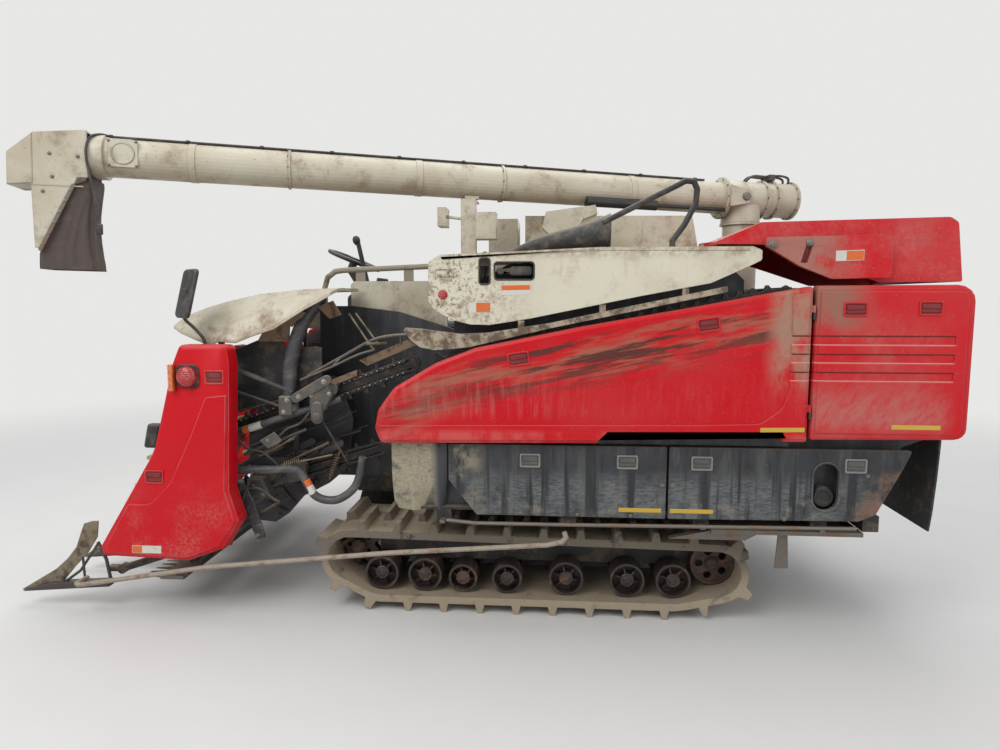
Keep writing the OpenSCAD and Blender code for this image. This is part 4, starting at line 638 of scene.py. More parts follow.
class Shape:
    """A mesh in the making, in millimetres. place carries it into the machine's frame."""

    def __init__(self, place=None):
        self.mesh = bmesh.new()
        self.place = place or Matrix.Identity(4)

    def skin(self, rings, cap=True):
        rows = [[self.mesh.verts.new((self.place @ Vector(p)) * MM) for p in ring] for ring in rings]
        for low, high in zip(rows, rows[1:]):
            for k in range(len(low)):
                n = (k + 1) % len(low)
                self.mesh.faces.new((low[k], low[n], high[n], high[k]))
        if cap:
            self.mesh.faces.new(rows[0][::-1])
            self.mesh.faces.new(rows[-1])
        return self

    def slab(self, outline, y0, y1, bevel=2.0):
        """A plate from y0 out to y1, bevelled round its outer face."""
        out = math.copysign(bevel, y1 - y0)
        rows = [(outline, y0), (outline, y1 - out), (inset(outline, bevel), y1)]
        return self.skin([[(u, y, v) for u, v in points] for points, y in rows])

    def block(self, low, high, bevel=3.0):
        edge = oblong((low[0], low[2]), (high[0], high[2]), bevel, 2)
        inner = inset(edge, bevel * 0.8)
        rows = [(inner, low[1]), (edge, low[1] + bevel), (edge, high[1] - bevel), (inner, high[1])]
        return self.skin([[(u, y, v) for u, v in points] for points, y in rows])

    def lathe(self, centre, axis, profile, sides=20):
        """A turned form. profile lists (distance along the axis, radius)."""
        along = Vector(axis).normalized()
        u = along.orthogonal().normalized()
        v = along.cross(u)
        spokes = [
            u * math.cos(math.tau * k / sides) + v * math.sin(math.tau * k / sides) for k in range(sides)
        ]
        return self.skin([[Vector(centre) + along * s + spoke * r for spoke in spokes] for s, r in profile])

    def rod(self, path, radius, sides=10):
        """A round bar along a path."""
        points = [Vector(p) for p in path]
        ways = [(b - a).normalized() for a, b in zip(points, points[1:])]
        u = ways[0].orthogonal().normalized()
        rings = []
        for k, point in enumerate(points):
            way = (ways[max(k - 1, 0)] + ways[min(k, len(ways) - 1)]).normalized()
            u = (u - way * u.dot(way)).normalized()
            v = way.cross(u)
            turns = (math.tau * i / sides for i in range(sides))
            rings.append([point + (u * math.cos(a) + v * math.sin(a)) * radius for a in turns])
        return self.skin(rings)

    def loop(self, outline, y, radius, sides=8):
        """A round bead along a closed outline."""
        points = [(u, y, v) for u, v in outline]
        return self.rod(points + points[:2], radius, sides)

    def coil(self, start, end, radius, wire, turns):
        """A coil spring between two points."""
        a, b = Vector(start), Vector(end)
        along = (b - a).normalized()
        u = along.orthogonal().normalized()
        v = along.cross(u)
        count = int(turns * 12)
        path = []
        for k in range(count + 1):
            turn = math.tau * turns * k / count
            path.append(a.lerp(b, k / count) + (u * math.cos(turn) + v * math.sin(turn)) * radius)
        return self.rod(path, wire, 6)

    def bolt(self, place, axis, radius=7.0):
        """A hexagon head on its washer."""
        self.lathe(place, axis, [(-1.0, radius * 1.7), (radius * 0.25, radius * 1.6)], 14)
        return self.lathe(
            place, axis, [(radius * 0.2, radius), (radius * 0.9, radius), (radius * 1.15, radius * 0.75)], 6
        )

    def bolt_circle(self, centre, axis, reach, count, radius, first=0.0):
        """Bolts in a circle round an axis, which lies along x, y or z."""
        u, v = (i for i in range(3) if not axis[i])
        for k in range(count):
            a = math.tau * k / count + first
            spot = list(centre)
            spot[u] += reach * math.cos(a)
            spot[v] += reach * math.sin(a)
            self.bolt(spot, axis, radius)

    def bezel(self, centre, size, y, wall=8.0, rise=4.0, tilt=0.0):
        """A raised frame round a shallow recess."""
        out = math.copysign(1.0, y)
        rings = []
        for grow, level in ((wall, -1.0), (wall, rise - 1.5), (wall - 1.5, rise), (1.0, rise), (-0.5, 0.5)):
            w, h = size[0] / 2 + grow, size[1] / 2 + grow
            rings.append([
                (centre[0] + u * math.cos(tilt) - v * math.sin(tilt), y + out * level,
                 centre[1] + u * math.sin(tilt) + v * math.cos(tilt))
                for u, v in oblong((-w, -h), (w, h), 7.0)
            ])
        return self.skin(rings)

    def add(self, name, body, slot, look, crease=35.0):
        """Makes the piece, which rides on a body and takes its finish from the given look. The slot argument
        is not used.
        """
        bmesh.ops.recalc_face_normals(self.mesh, faces=self.mesh.faces)
        mesh = bpy.data.meshes.new(name)
        self.mesh.to_mesh(mesh)
        self.mesh.free()
        mesh.polygons.foreach_set("use_smooth", [True] * len(mesh.polygons))
        mesh.set_sharp_from_angle(angle=math.radians(crease))
        piece = bpy.data.objects.new(name, mesh)
        bpy.context.scene.collection.objects.link(piece)
        mesh.materials.append(LOOKS[look])
        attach(piece, body)
        return piece


# Outer faces of the side covers, in y
DOOR_Y = 950.0
LOW_Y = 905.3
UPPER_Y = 902.0
HOOD_Y = 918.0
HEADER_Y = 920.0
# How far the doors' raised skins stand out
SKIN = 6.0
# Slot and bevel of each kind of sticker
STICKERS = {
    "tape_yellow": ("tine_plastic", 0.4),
    "label_white": ("cream_paint", 0.3), "tape_orange": ("lamp_lens", 0.3)
}


def handles(name, body, slot, places, y, tilt=0.0, looks=("red_body", "grip_shaded"), size=(84, 48)):
    """Recessed hand grips: a frame, and a floor with the pull bar across its upper half in a darker look,
    which is painted shade in the recess.
    """
    frames, pulls = Shape(), Shape()
    out = math.copysign(1.0, y)
    w, h = size[0] / 2 - 2, size[1] / 2 - 2
    for x, z in places:
        frames.bezel((x, z), size, y, wall=7.0, rise=5.0, tilt=tilt)
        pulls.place = Matrix.Translation((x, 0, z)) @ Matrix.Rotation(-tilt, 4, "Y")
        # The floor, pull bar and lip take the darker look, as painted shade in the recess
        pulls.slab(oblong((-w, -h), (w, h), 5), y + 0.4 * out, y + 1.0 * out, 0.3)
        pulls.slab(oblong((-w + 3, -2), (w - 3, h - 3), 4), y, y + 4.6 * out, 2.0)
        pulls.slab(oblong((-w + 3, -h + 4), (w - 3, -h + 9), 2), y, y + 3.0 * out, 1.2)
    frames.add(name + "_frames", body, slot, looks[0])
    pulls.add(name + "_pulls", body, slot, looks[1])


def stickers(name, body, look, y0, y1, rows, lean=0):
    """Tapes or blank labels from y0 out to y1. Columns: x and z of both lower corners, height."""
    slot, bevel = STICKERS[look]
    made = Shape()
    for x0, z0, x1, z1, high in rows:
        made.slab([(x0, z0), (x1, z1), (x1 + lean, z1 + high), (x0 + lean, z0 + high)], y0, y1, bevel)
    made.add(name, body, slot, look)


def side_doors():
    front = Shape()
    front.slab(rounded([
        (-1532, 931, 0), (-1458, 931, 0), (-1441, 961, 0), (-688, 951, 0), (-648, 912, 0), (328, 899, 16),
        (348, 950, 12), (338, 968, 4), (-1088, 988, 0), (-1345, 996, 60), (-1432, 1062, 60),
        (-1463, 1150, 30), (-1463, 1186, 0), (-1532, 1186, 0)
    ]), DOOR_Y - 1, DOOR_Y + SKIN, 3.0)
    for low, high in ((1225, 1264), (1303, 1341)):
        front.slab([(-1532, low), (-1463, low), (-1463, high), (-1532, high)], DOOR_Y - 1, DOOR_Y + SKIN, 3.0)
    front.slab([(-1532, 1381), (-1463, 1381), (-1460, 1552), (-1532, 1566)], DOOR_Y - 1, DOOR_Y + SKIN, 3.0)
    front.add("door_front_skin", "door_front", "red_plastic", "red_door")

    comb = [(-1576, 958, 0)]
    for low, high in BANDS:
        comb += [(-1576, low, 0), (-2133, low, 8), (-2133, high, 8), (-1576, high, 0)]
    comb += [(-1576, 1570, 0), (-2178, 1570, 30), (-2184, 958, 30)]
    rear = Shape()
    rear.slab(rounded(comb, 3), DOOR_Y - 1, DOOR_Y + SKIN, 3.0)
    rear.add("door_rear_skin", "door_rear", "red_plastic", "red_rear")

    handles("door_front", "door_front", "red_plastic", [(-291, 1273), (-1113, 1426)], DOOR_Y, tilt=-0.15)
    handles("door_rear", "door_rear", "red_plastic", [(-1718, 1493), (-2024, 1498)], DOOR_Y + SKIN)
    top = DOOR_Y + SKIN + 0.7
    stickers("door_front_tape", "door_front", "tape_yellow", DOOR_Y, top, [(-1532, 963, -1345, 960, 20)])
    stickers("door_rear_tape", "door_rear", "tape_yellow", DOOR_Y, top, [(-2094, 980, -1892, 980, 20)])


def low_covers():
    # The grips' floors take the darker latch look, as painted shade in the recess
    handles(
        "low_cover", "chassis", "navy_plastic", [(-343, 805), (-782, 805), (-1112, 805), (-1777, 805)], LOW_Y,
        looks=("latch", "latch_floor_shaded"), size=(80, 50)
    )
    tapes = [(x - 96, 574, x + 96, 574, 20) for x in (-842, -1072)]
    stickers("low_cover_tape", "chassis", "tape_yellow", LOW_Y - 1, LOW_Y + 0.7, tapes)
    border = Shape().loop(oblong((-1711, 598), (-1595, 817), 55), LOW_Y, 5)
    border.add("low_cover_beads", "chassis", "navy_plastic", "navy")
    bolts = Shape()
    for x, z in [
        (-70, 640), (-300, 556), (-560, 556), (-800, 556), (-940, 700), (-984, 700), (-1250, 556),
        (-1480, 556), (-1830, 760)
    ]:
        bolts.bolt((x, LOW_Y, z), (0, 1, 0), 5.5)
    bolts.add("low_cover_bolts", "chassis", "bare_steel", "steel")
    hose, mouth = Shape(), (-1653, 846, 655)
    hose.lathe(mouth, (0, 1, 0), [(-140, 46), (34, 46), (38, 42), (38, 30), (24, 28), (24, 2)], 28)
    for k in range(4):
        hose.lathe(mouth, (0, 1, 0), [(4 + 8 * k, 47), (6 + 8 * k, 49), (8 + 8 * k, 47)], 28)
    hose.add("hose_end", "chassis", "black_plastic", "black")


def upper_cover():
    beads = Shape()
    beads.loop(oblong((-160, 1602), (-112, 1718), 14), UPPER_Y, 4)
    beads.loop(oblong((-356, 1622), (-180, 1700), 14), UPPER_Y, 4)
    beads.slab(oblong((-350, 1640), (-248, 1682), 14), UPPER_Y - 75, UPPER_Y - 6, 5)
    pull = rounded([(-262, 1646, 6), (-190, 1654, 8), (-190, 1668, 8), (-262, 1676, 6)])
    beads.slab(pull, UPPER_Y - 22, UPPER_Y - 8, 4)
    beads.lathe((-206, UPPER_Y - 20, 1661), (0, 1, 0), [(0, 16), (12, 16), (15, 12)])
    beads.add("cover_latch", "chassis", "black_plastic", "black")
    trim = Shape()
    trim.bezel((48, 1655), (76, 24), UPPER_Y, wall=7, rise=6)
    trim.slab(rounded([
        (-1290, 1744, 0), (-645, 1748, 0), (56, 1716, 10), (60, 1722, 4), (-645, 1756, 0), (-1290, 1752, 0)
    ]), UPPER_Y - 1, UPPER_Y + 2.5, 1.5)
    trim.add("cover_trim", "chassis", "cream_paint", "cream_clean")
    Shape().lathe((52, UPPER_Y, 1556), (0, 1, 0), [(-1, 21), (4, 21), (9, 16), (10, 3)], 24).add(
        "cover_reflector", "chassis", "lamp_lens", "lens_red")
    rows = [(-340, 1555, -208, 1553, 46), (-163, 1478, -64, 1476, 46)]
    stickers("cover_labels", "chassis", "label_white", UPPER_Y - 1, UPPER_Y + 0.6, rows)
    rows = [(-338, 1578, -212, 1576, 21), (-161, 1480, -98, 1479, 41)]
    stickers("cover_label_bands", "chassis", "tape_orange", UPPER_Y, UPPER_Y + 1.0, rows)


def hood_fittings():
    bolts = Shape()
    bolts.lathe((-1378, HOOD_Y, 1768), (0, 1, 0), [(-1, 20), (3, 20), (5, 14), (12, 13), (14, 9)], 18)
    bolts.lathe((-1530, HOOD_Y, 1775), (0, 1, 0), [(-1, 15), (4, 15), (6, 11), (10, 9), (11, 2)], 18)
    bolts.add("hood_bolts", "hood", "bare_steel", "steel")
    rows = [(-1757, 1701, -1640, 1697, 44)]
    stickers("hood_label", "hood", "label_white", HOOD_Y - 1, HOOD_Y + 0.6, rows)
    rows = [(-1755, 1703, -1684, 1701, 39)]
    stickers("hood_label_band", "hood", "tape_orange", HOOD_Y, HOOD_Y + 1.0, rows)


# Outline of the header's side covers. Columns: x, z, corner radius
COVER_ROWS = [
    (1119, 349, 10), (1296, 284, 30), (1726, 297, 16), (1738, 347, 20), (1442, 823, 0), (1330, 1240, 40),
    (1293, 1325, 20), (1061, 1325, 30), (1051, 1232, 10), (1077, 635, 0), (1034, 490, 20)
]
# From the hollow's floor over the rim to the outer face. Columns: y, distance in from the outline
COVER_STEPS = [(908, 12), (830, 12), (830, 0), (896, 0), (912, 5), (HEADER_Y, 18)]


def cover_outline(depth):
    corners = inset([(x, z) for x, z, _ in COVER_ROWS], depth)
    return rounded([(x, z, row[2]) for (x, z), row in zip(corners, COVER_ROWS)], 6)


def header_shell():
    covers, shade_sheets, skins = Shape(), Shape(), Shape()
    for side in (1, -1):
        covers.skin([[(x, side * y, z) for x, z in cover_outline(depth)] for y, depth in COVER_STEPS])
        # A dark sheet inside each cover: painted shade that hides the cover's red inner face
        shade_sheets.slab(cover_outline(11), side * 838, side * 831, 2)
        y = side * HEADER_Y
        skins.slab(rounded([
            (1069, 1094, 0), (1172, 1083, 24), (1254, 893, 60), (1364, 669, 80), (1469, 562, 70),
            (1576, 564, 10), (1704, 352, 12), (1700, 318, 10), (1298, 304, 20), (1138, 365, 0),
            (1055, 489, 12), (1096, 636, 20)
        ]), y - side, y + side * 5, 4)
    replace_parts(covers.add("header_cover_shells", "header", "red_plastic", "red_header"), "header_covers")
    shade_sheets.add("header_cover_shade_sheets", "header", "frame_paint", "pipe")
    skins.add("header_skins", "header", "red_plastic", "red_header")
    for side, name in ((1, "left"), (-1, "right")):
        handles(
            "header_" + name, "header", "red_plastic", [(1124, 1176), (1441, 697)], side * HEADER_Y,
            looks=("red_header", "grip_shaded"), size=(78, 52)
        )
    rows = [(1424, 322, 1570, 322, 38)]
    stickers("header_label", "header", "label_white", HEADER_Y, HEADER_Y + 5.7, rows, lean=-2)
    rows = [(1520, 324, 1568, 324, 34)]
    stickers("header_label_band", "header", "tape_orange", HEADER_Y, HEADER_Y + 6.2, rows, lean=-2)


def header_lamps():
    """Ribbed orange lamp, round red lamp and the work lamp on the left cover."""
    strip = Shape()
    strip.block((1312, HEADER_Y + 0.3, 1110), (1336, HEADER_Y + 26, 1236), 5)
    for k in range(11):
        strip.block((1311, HEADER_Y + 4, 1116 + 11 * k), (1337, HEADER_Y + 27, 1120 + 11 * k), 1.5)
    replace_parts(strip.add("lamp_strip", "header", "lamp_lens", "lens_orange"), "lamps")
    dome = Shape().lathe(
        (1250, HEADER_Y + 6, 1180), (0, 1, 0), [(0, 49), (10, 49), (20, 46), (28, 36), (31, 20), (32, 2)], 36
    )
    for radius in (42, 32, 20):
        dome.lathe(
            (1250, HEADER_Y + 20, 1180), (0, 1, 0),
            [(0, radius + 1.5), (12, radius - 6), (12.5, radius - 9)], 36
        )
    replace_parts(dome.add("lamp_dome", "header", "lamp_lens", "lens_red"), "lamps")
    base = Shape().slab(oblong((1196, 1124), (1308, 1236), 30), HEADER_Y + 0.3, HEADER_Y + 9, 4)
    work = rounded([(1440.5, 830, 10), (1504, 830, 10), (1478, 946, 10), (1409.4, 946, 10)])
    base.slab(work, HEADER_Y - 58, HEADER_Y - 27, 6)
    base.slab(inset(work, 8), HEADER_Y - 30, HEADER_Y - 24, 2)
    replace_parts(base.add("lamp_bodies", "header", "black_plastic", "black"), "lamps")
    lens = Shape()
    corners = ((0.08, 868), (0.92, 868), (0.92, 888), (0.08, 888))
    lens.skin([[(1504 - 26 * f + out, y, 830 + 116 * f) for f, y in corners] for out in (-3.0, 1.5)])
    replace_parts(lens.add("lamp_lens_pane", "header", "lamp_lens", "glass"), "lamps")


# Road rollers from the front. Columns: x, radius, height of the axle
ROLLERS = [
    (406, 85, 169), (187, 85, 165.3), (-4, 72, 152.3), (-224, 75, 155.3), (-516, 85, 165.3),
    (-814, 85, 165.3), (-1036, 85, 169)
]
TRACK_Y = 537.5
ROW_PITCH = 380.0


def running_gear():
    ribs, caps = Shape(), Shape()
    for side in (1, -1):
        for x, radius, z in ROLLERS:
            hub = Vector((x, side * (TRACK_Y + 108), z))
            # Outline of a rib. Columns: distance from the axle, distance out
            rib = [(32, -2), (radius - 10, -2), (radius - 10, 22), (32, 40)]
            for k in range(6):
                a = math.tau * (k + 0.25) / 6
                u, v = Vector((math.cos(a), 0, math.sin(a))), Vector((-math.sin(a), 0, math.cos(a)))
                ribs.skin([
                    [hub + u * r + v * wide + Vector((0, side * d, 0)) for r, d in rib]
                    for wide in (-4.0, 4.0)
                ])
            caps.lathe((x, side * (TRACK_Y + 150), z), (0, side, 0), [
                (0, 34), (9, 34), (12, 30), (11, 20), (12, 18), (16, 15), (16.5, 3)
            ], 28)
            caps.lathe((x, side * (TRACK_Y + 104), z), (0, side, 0), [
                (0, radius - 9), (7, radius - 10), (9, radius - 13), (7, radius - 17), (0, radius - 18)
            ], 32)
            caps.bolt_circle((x, side * (TRACK_Y + 161), z), (0, side, 0), 25, 5, 2.6, 0.3)
        caps.bolt_circle((555, side * (TRACK_Y + 62), 262), (0, side, 0), 30, 9, 4)
        caps.lathe(
            (-1235, side * (TRACK_Y + 86), 235), (0, side, 0), [(0, 30), (10, 30), (14, 24), (15, 4)], 24
        )
    ribs.add("roller_ribs", "chassis", "roller_iron", "roller")
    caps.add("roller_caps", "chassis", "roller_iron", "roller")


def tube_fittings():
    """Plates, bands, bolts and the cable along the auger's tube and its hood."""
    plate = Shape(BOOM_PLACE)
    plate.slab(oblong((3248, -54), (3380, 73), 7), 60, 93, 2)
    plate.lathe((3314, 92, 10), (0, 1, 0), [(0, 52), (4, 51), (6, 47), (3, 43), (2.5, 20), (3.5, 1)], 36)
    for t in (1, -1):
        plate.slab(
            rounded([(3684, 72, 0), (3690, 70, 0), (3694, -150, 0), (3688, -150, 0)]), t * 103.5, t * 106, 1
        )
        plate.slab(
            rounded([(3480, -158, 0), (3694, -160, 0), (3694, -154, 0), (3480, -152, 0)]),
            t * 103.5, t * 106, 1
        )
    for s in (700, 1900, 3000):
        plate.lathe((s, 0, 0), (1, 0, 0), [(0, 90.5), (1, 93), (34, 93), (35, 90.5)], 48)
    plate.add("tube_plates", "boom", "cream_paint", "cream_tube")

    strip = Shape(BOOM_PLACE)
    for t in (1, -1):
        strip.slab(capsule((3524, -152), (3668, -448), 9), t * 103.5, t * 107.5, 1.5)
        for k in range(6):
            strip.bolt((3535 + 24 * k, t * 107, -175 - 50 * k), (0, t, 0), 4)
        for s, h in [(3616, -14), (3608, -117), (3502, -120), (3649, -185), (3500, -20)]:
            strip.bolt((s, t * 104, h), (0, t, 0), 5.5)
    for s, h in [(3256, -46), (3372, -46), (3256, 65), (3372, 65)]:
        strip.bolt((s, 92, h), (0, 1, 0), 4.5)
    for s, radius in [(1472, 94), (2572, 93), (142, 106)]:
        strip.bolt_circle((s, 0, 0), (1, 0, 0), radius, 10, 4)
    strip.add("tube_bolts", "boom", "bare_steel", "steel")

    cable = Shape(BOOM_PLACE)
    cable.rod([(s, 22, 95) for s in range(260, 3381, 120)], 6, 8)
    cable.rod(flowing([
        (3380, 22, 95), (3420, 40, 99), (3452, 84, 76), (3462, 112, 20), (3458, 118, -50), (3448, 114, -110),
        (3436, 110, -180), (3424, 108, -290), (3420, 108, -330)
    ]), 6, 8)
    for s in range(320, 3381, 340):
        cable.block((s - 10, 12, 92), (s + 10, 32, 104), 3)
    cable.block((3404, 100, -372), (3430, 116, -322), 4)
    cable.add("tube_cable", "boom", "black_plastic", "cable")


def head_fittings():
    """Bolts and oil pipes of the slewing head, and the flange bolts of the pipe below it."""
    head = Shape(HEAD_PLACE)
    for s in (-318, -188, -118):
        head.bolt_circle((s, 0, 0), (1, 0, 0), 106, 10, 4)
    for side in (1, -1):
        head.lathe((40, side * 127, 0), (0, side, 0), [(0, 24), (6, 24), (9, 20), (9.5, 3)], 24)
    head.add("head_bolts", "slew_head", "bare_steel", "steel")
    hoses = Shape(HEAD_PLACE)
    for t in (-30, 24):
        hoses.rod(flowing([
            (-300, t, 96), (-296, t, 130), (-240, t, 142), (-150, t, 134), (-70, t * 0.8, 136),
            (-30, t * 0.6, 112), (-24, t * 0.6, 92)
        ]), 7, 8)
    hoses.block((-200, -50, 110), (-160, 44, 146), 5)
    hoses.add("head_pipes", "slew_head", "black_plastic", "cable")

    foot = Shape()
    for z in (754, 1414):
        foot.bolt_circle((SLEW.x, SLEW.y, z), (0, 0, 1), 108, 12, 4.5)
    foot.add("pipe_bolts", "chassis", "bare_steel", "steel")


# Foot and top of the conveyor whose chain is in view, each as (x, z), and the pitch of its links
CHAIN = ((1180, 880), (240, 1222))
LINK = 30


def gather_chain():
    """The chain of the conveyor in view: links, pins and the lugs that carry the straw."""
    foot, top = Vector(CHAIN[0]), Vector(CHAIN[1])
    way = (top - foot).normalized()
    across = Vector((way.y, -way.x))
    links, pins = Shape(), Shape()
    length = (top - foot).length
    for offset in (27, -27):
        k = 0
        while 16 + LINK * k < length - LINK:
            a = foot + way * (6 + LINK * k) + across * offset
            b = a + way * 22
            y = 649 + (k % 2) * 3
            links.slab(capsule(tuple(a), tuple(b), 8, 4), y, y + 3, 0.8)
            pins.lathe((a.x, y, a.y), (0, 1, 0), [(0, 4), (7, 4), (8, 2.5)], 8)
            if k % 3 == 0:
                tip = a + across * math.copysign(34, offset)
                links.slab([
                    tuple(a - way * 9), tuple(a + way * 9), tuple(tip + way * 12), tuple(tip + way * 4)
                ], y - 4, y + 3, 1)
            k += 1
    links.add("gather_links", "header", "chain_steel", "chain")
    pins.add("gather_pins", "header", "bare_steel", "bright")


def header_gears():
    """Gear cases, pulleys and their bolts in the gathering header, seen behind the red side cover."""
    gears = Shape()
    gears.slab(
        rounded([(742, 982, 12), (668, 990, 20), (622, 1072, 14), (650, 1128, 20), (740, 1086, 20)]),
        668, 744, 8
    )
    gears.slab(capsule((804, 1058), (648, 1148), 24), 744, 754, 3)
    gears.slab(capsule((700, 1012), (700, 960), 30), 736, 760, 6)
    gears.lathe((700, 758, 966), (0, 1, 0), [(0, 22), (10, 22), (14, 16), (14.5, 3)])
    gears.slab(oblong((828, 968), (896, 1066), 10), 700, 745, 6)
    gears.slab(rounded([(983, 850, 4), (940, 810, 4), (868, 850, 4), (908, 894, 4)]), 770, 778, 2)
    gears.slab(
        rounded([(1090, 640, 10), (1012, 640, 14), (975, 560, 14), (1030, 520, 20), (1096, 560, 14)]),
        640, 700, 8
    )
    gears.slab(
        rounded([(900, 600, 10), (820, 620, 10), (800, 700, 20), (860, 730, 10), (920, 690, 14)]), 600, 650, 8
    )
    gears.slab(capsule((1060, 590), (860, 660), 40), 560, 610, 8)
    for x, z, r in [(1050, 590, 52), (860, 665, 46), (640, 1100, 34), (1150, 560, 36)]:
        profile = [(0, r), (14, r), (18, r - 6), (18.5, 12), (26, 10), (27, 2)]
        gears.lathe((x, 640 if r > 40 else 700, z), (0, 1, 0), profile, 24)
    gears.add("header_gears", "header", "frame_paint", "gearbox")

    bolts = Shape()
    for x, y, z, r in [
        (790, 754, 1066, 8), (662, 754, 1140, 8), (730, 744, 1070, 6), (640, 744, 1080, 6),
        (688, 744, 1004, 6), (852, 745, 1046, 7), (870, 745, 988, 7), (940, 778, 852, 5), (1060, 700, 600, 7),
        (1010, 700, 560, 7), (846, 650, 640, 6), (880, 650, 700, 6)
    ]:
        bolts.bolt((x, y, z), (0, 1, 0), r)
    bolts.add("header_gear_bolts", "header", "bare_steel", "bright")


def header_rods():
    """Springs, rods, bent wires and levers round the gear cases."""
    springs = Shape()
    springs.coil((884, 716, 716), (800, 716, 734), 17, 3.2, 8)
    springs.coil((1010, 640, 760), (930, 640, 800), 15, 3, 8)
    springs.coil((690, 590, 640), (650, 590, 740), 14, 3, 8)
    for a, b in [
        ((930, 716, 706), (640, 716, 772)), ((1050, 640, 740), (860, 640, 835)),
        ((700, 590, 615), (640, 590, 765))
    ]:
        springs.rod([a, b], 5, 8)
    springs.add("header_springs", "header", "bare_steel", "spring")

    rods = Shape()
    for a, b, r in [
        ((1160, 760, 1110), (880, 735, 1010), 7), ((1080, 740, 770), (760, 730, 900), 8),
        ((1010, 700, 660), (660, 700, 830), 7), ((1030, 600, 560), (800, 640, 770), 10),
        ((690, 730, 960), (560, 730, 740), 6), ((1120, 690, 980), (760, 690, 1075), 6),
        ((900, 760, 540), (1100, 740, 420), 7), ((820, 560, 520), (600, 560, 760), 9),
        ((1100, 806, 470), (1010, 806, 700), 6), ((1090, 560, 930), (720, 560, 1010), 9),
        ((980, 620, 860), (600, 620, 1000), 8), ((1120, 500, 1000), (700, 500, 1120), 12),
    ]:
        rods.rod([a, b], r, 8)
    rods.rod(
        flowing([(1150, 770, 640), (1080, 775, 600), (1000, 775, 610), (930, 770, 560), (900, 760, 540)]), 7
    )
    rods.rod(
        flowing([(960, 740, 800), (900, 750, 860), (850, 750, 905), (790, 745, 930), (740, 742, 985)]), 6
    )
    rods.rod(
        flowing([(1130, 720, 860), (1060, 740, 800), (980, 740, 780), (900, 735, 700), (905, 730, 640)]), 6
    )
    rods.add("header_links", "header", "frame_paint", "frame")

    levers = Shape()
    for shift in (0, 26):
        levers.rod([(548 - shift, 690 - shift, 1468), (448 - shift * 1.4, 690 - shift, 1318)], 5, 8)
    levers.rod([(462, 700, 1320), (378, 640, 1320)], 7, 10)
    levers.rod([(448, 690, 1318), (430, 676, 1290)], 6, 8)
    levers.rod(flowing([(1010, 720, 760), (930, 730, 800), (830, 730, 860), (800, 726, 884)]), 5, 8)
    levers.add("header_levers", "header", "bare_steel", "divider")


def straw_guides():
    """Plates and strips that lead the straw up to the feed chain, and a worn guard at the header's side."""
    plates = Shape()
    plates.slab([(512, 1236), (268, 1338), (226, 1312), (470, 1210)], 656, 661, 1)
    plates.slab([(1010, 1330), (960, 1412), (872, 1470), (838, 1440), (850, 1330)], 690, 695, 1)
    plates.slab([(880, 1448), (800, 1500), (760, 1470), (830, 1400)], 700, 704, 1)
    plates.slab([(720, 1500), (640, 1530), (600, 1460), (660, 1440)], 640, 645, 1)
    plates.slab([(700, 1120), (520, 1190), (520, 1160), (700, 1086)], 664, 668, 1)
    plates.add("guide_plates", "header", "bare_steel", "rusty")

    strips = Shape()
    strips.rod(
        flowing([(772, 668, 1158), (600, 668, 1250), (425, 668, 1342), (265, 668, 1364), (224, 668, 1356)]), 8
    )
    strips.rod(flowing([(800, 690, 1140), (640, 684, 1206), (520, 680, 1262), (430, 676, 1290)]), 6)
    strips.rod([(600, 668, 1250), (640, 684, 1206)], 5, 8)
    strips.rod([(300, 668, 1362), (300, 659, 1316)], 5, 8)
    strips.add("guide_strips", "header", "frame_paint", "gearbox")

    worn = Shape()
    worn.slab(rounded([
        (1112, 668, 8), (1066, 660, 8), (1012, 540, 30), (962, 372, 10), (1000, 336, 10), (1036, 430, 30)
    ]), 786, 796, 3)
    worn.lathe((1084, 792, 640), (0, 1, 0), [(0, 20), (8, 20), (11, 15), (11.5, 3)])
    worn.add("worn_guard", "header", "frame_paint", "chipped")


def pipe_bands():
    """Orange and white bands round the header's two bent pipes."""
    upper_a, upper_b = Vector((1150, 700, 868)), Vector((590, 700, 1050))
    lower_a, lower_b = Vector((755, 780, 660)), Vector((720, 780, 590))
    # Columns: name, look, span along the upper pipe, span along the lower pipe
    for name, look, upper, lower in [
        ("pipe_band_orange", "tape_orange", (0.10, 0.15), (0.0, 0.40)),
        ("pipe_band_white", "label_white", (0.155, 0.27), (0.42, 0.98)),
    ]:
        band = Shape()
        band.rod([upper_a.lerp(upper_b, share) for share in upper], 19.7, 20)
        band.rod([lower_a.lerp(lower_b, share) for share in lower], 20.8, 20)
        band.add(name, "header", STICKERS[look][0], look)


def softened(path, reach=40.0, steps=5):
    """The path with its corners eased."""
    rows = [Vector(p) for p in path]
    out = [rows[0]]
    for back, here, ahead in zip(rows, rows[1:], rows[2:]):
        start = here + (back - here) * min(0.5, reach / (back - here).length)
        end = here + (ahead - here) * min(0.5, reach / (ahead - here).length)
        for k in range(steps + 1):
            t = k / steps
            out.append(start.lerp(here, t).lerp(here.lerp(end, t), t))
    return out + [rows[-1]]


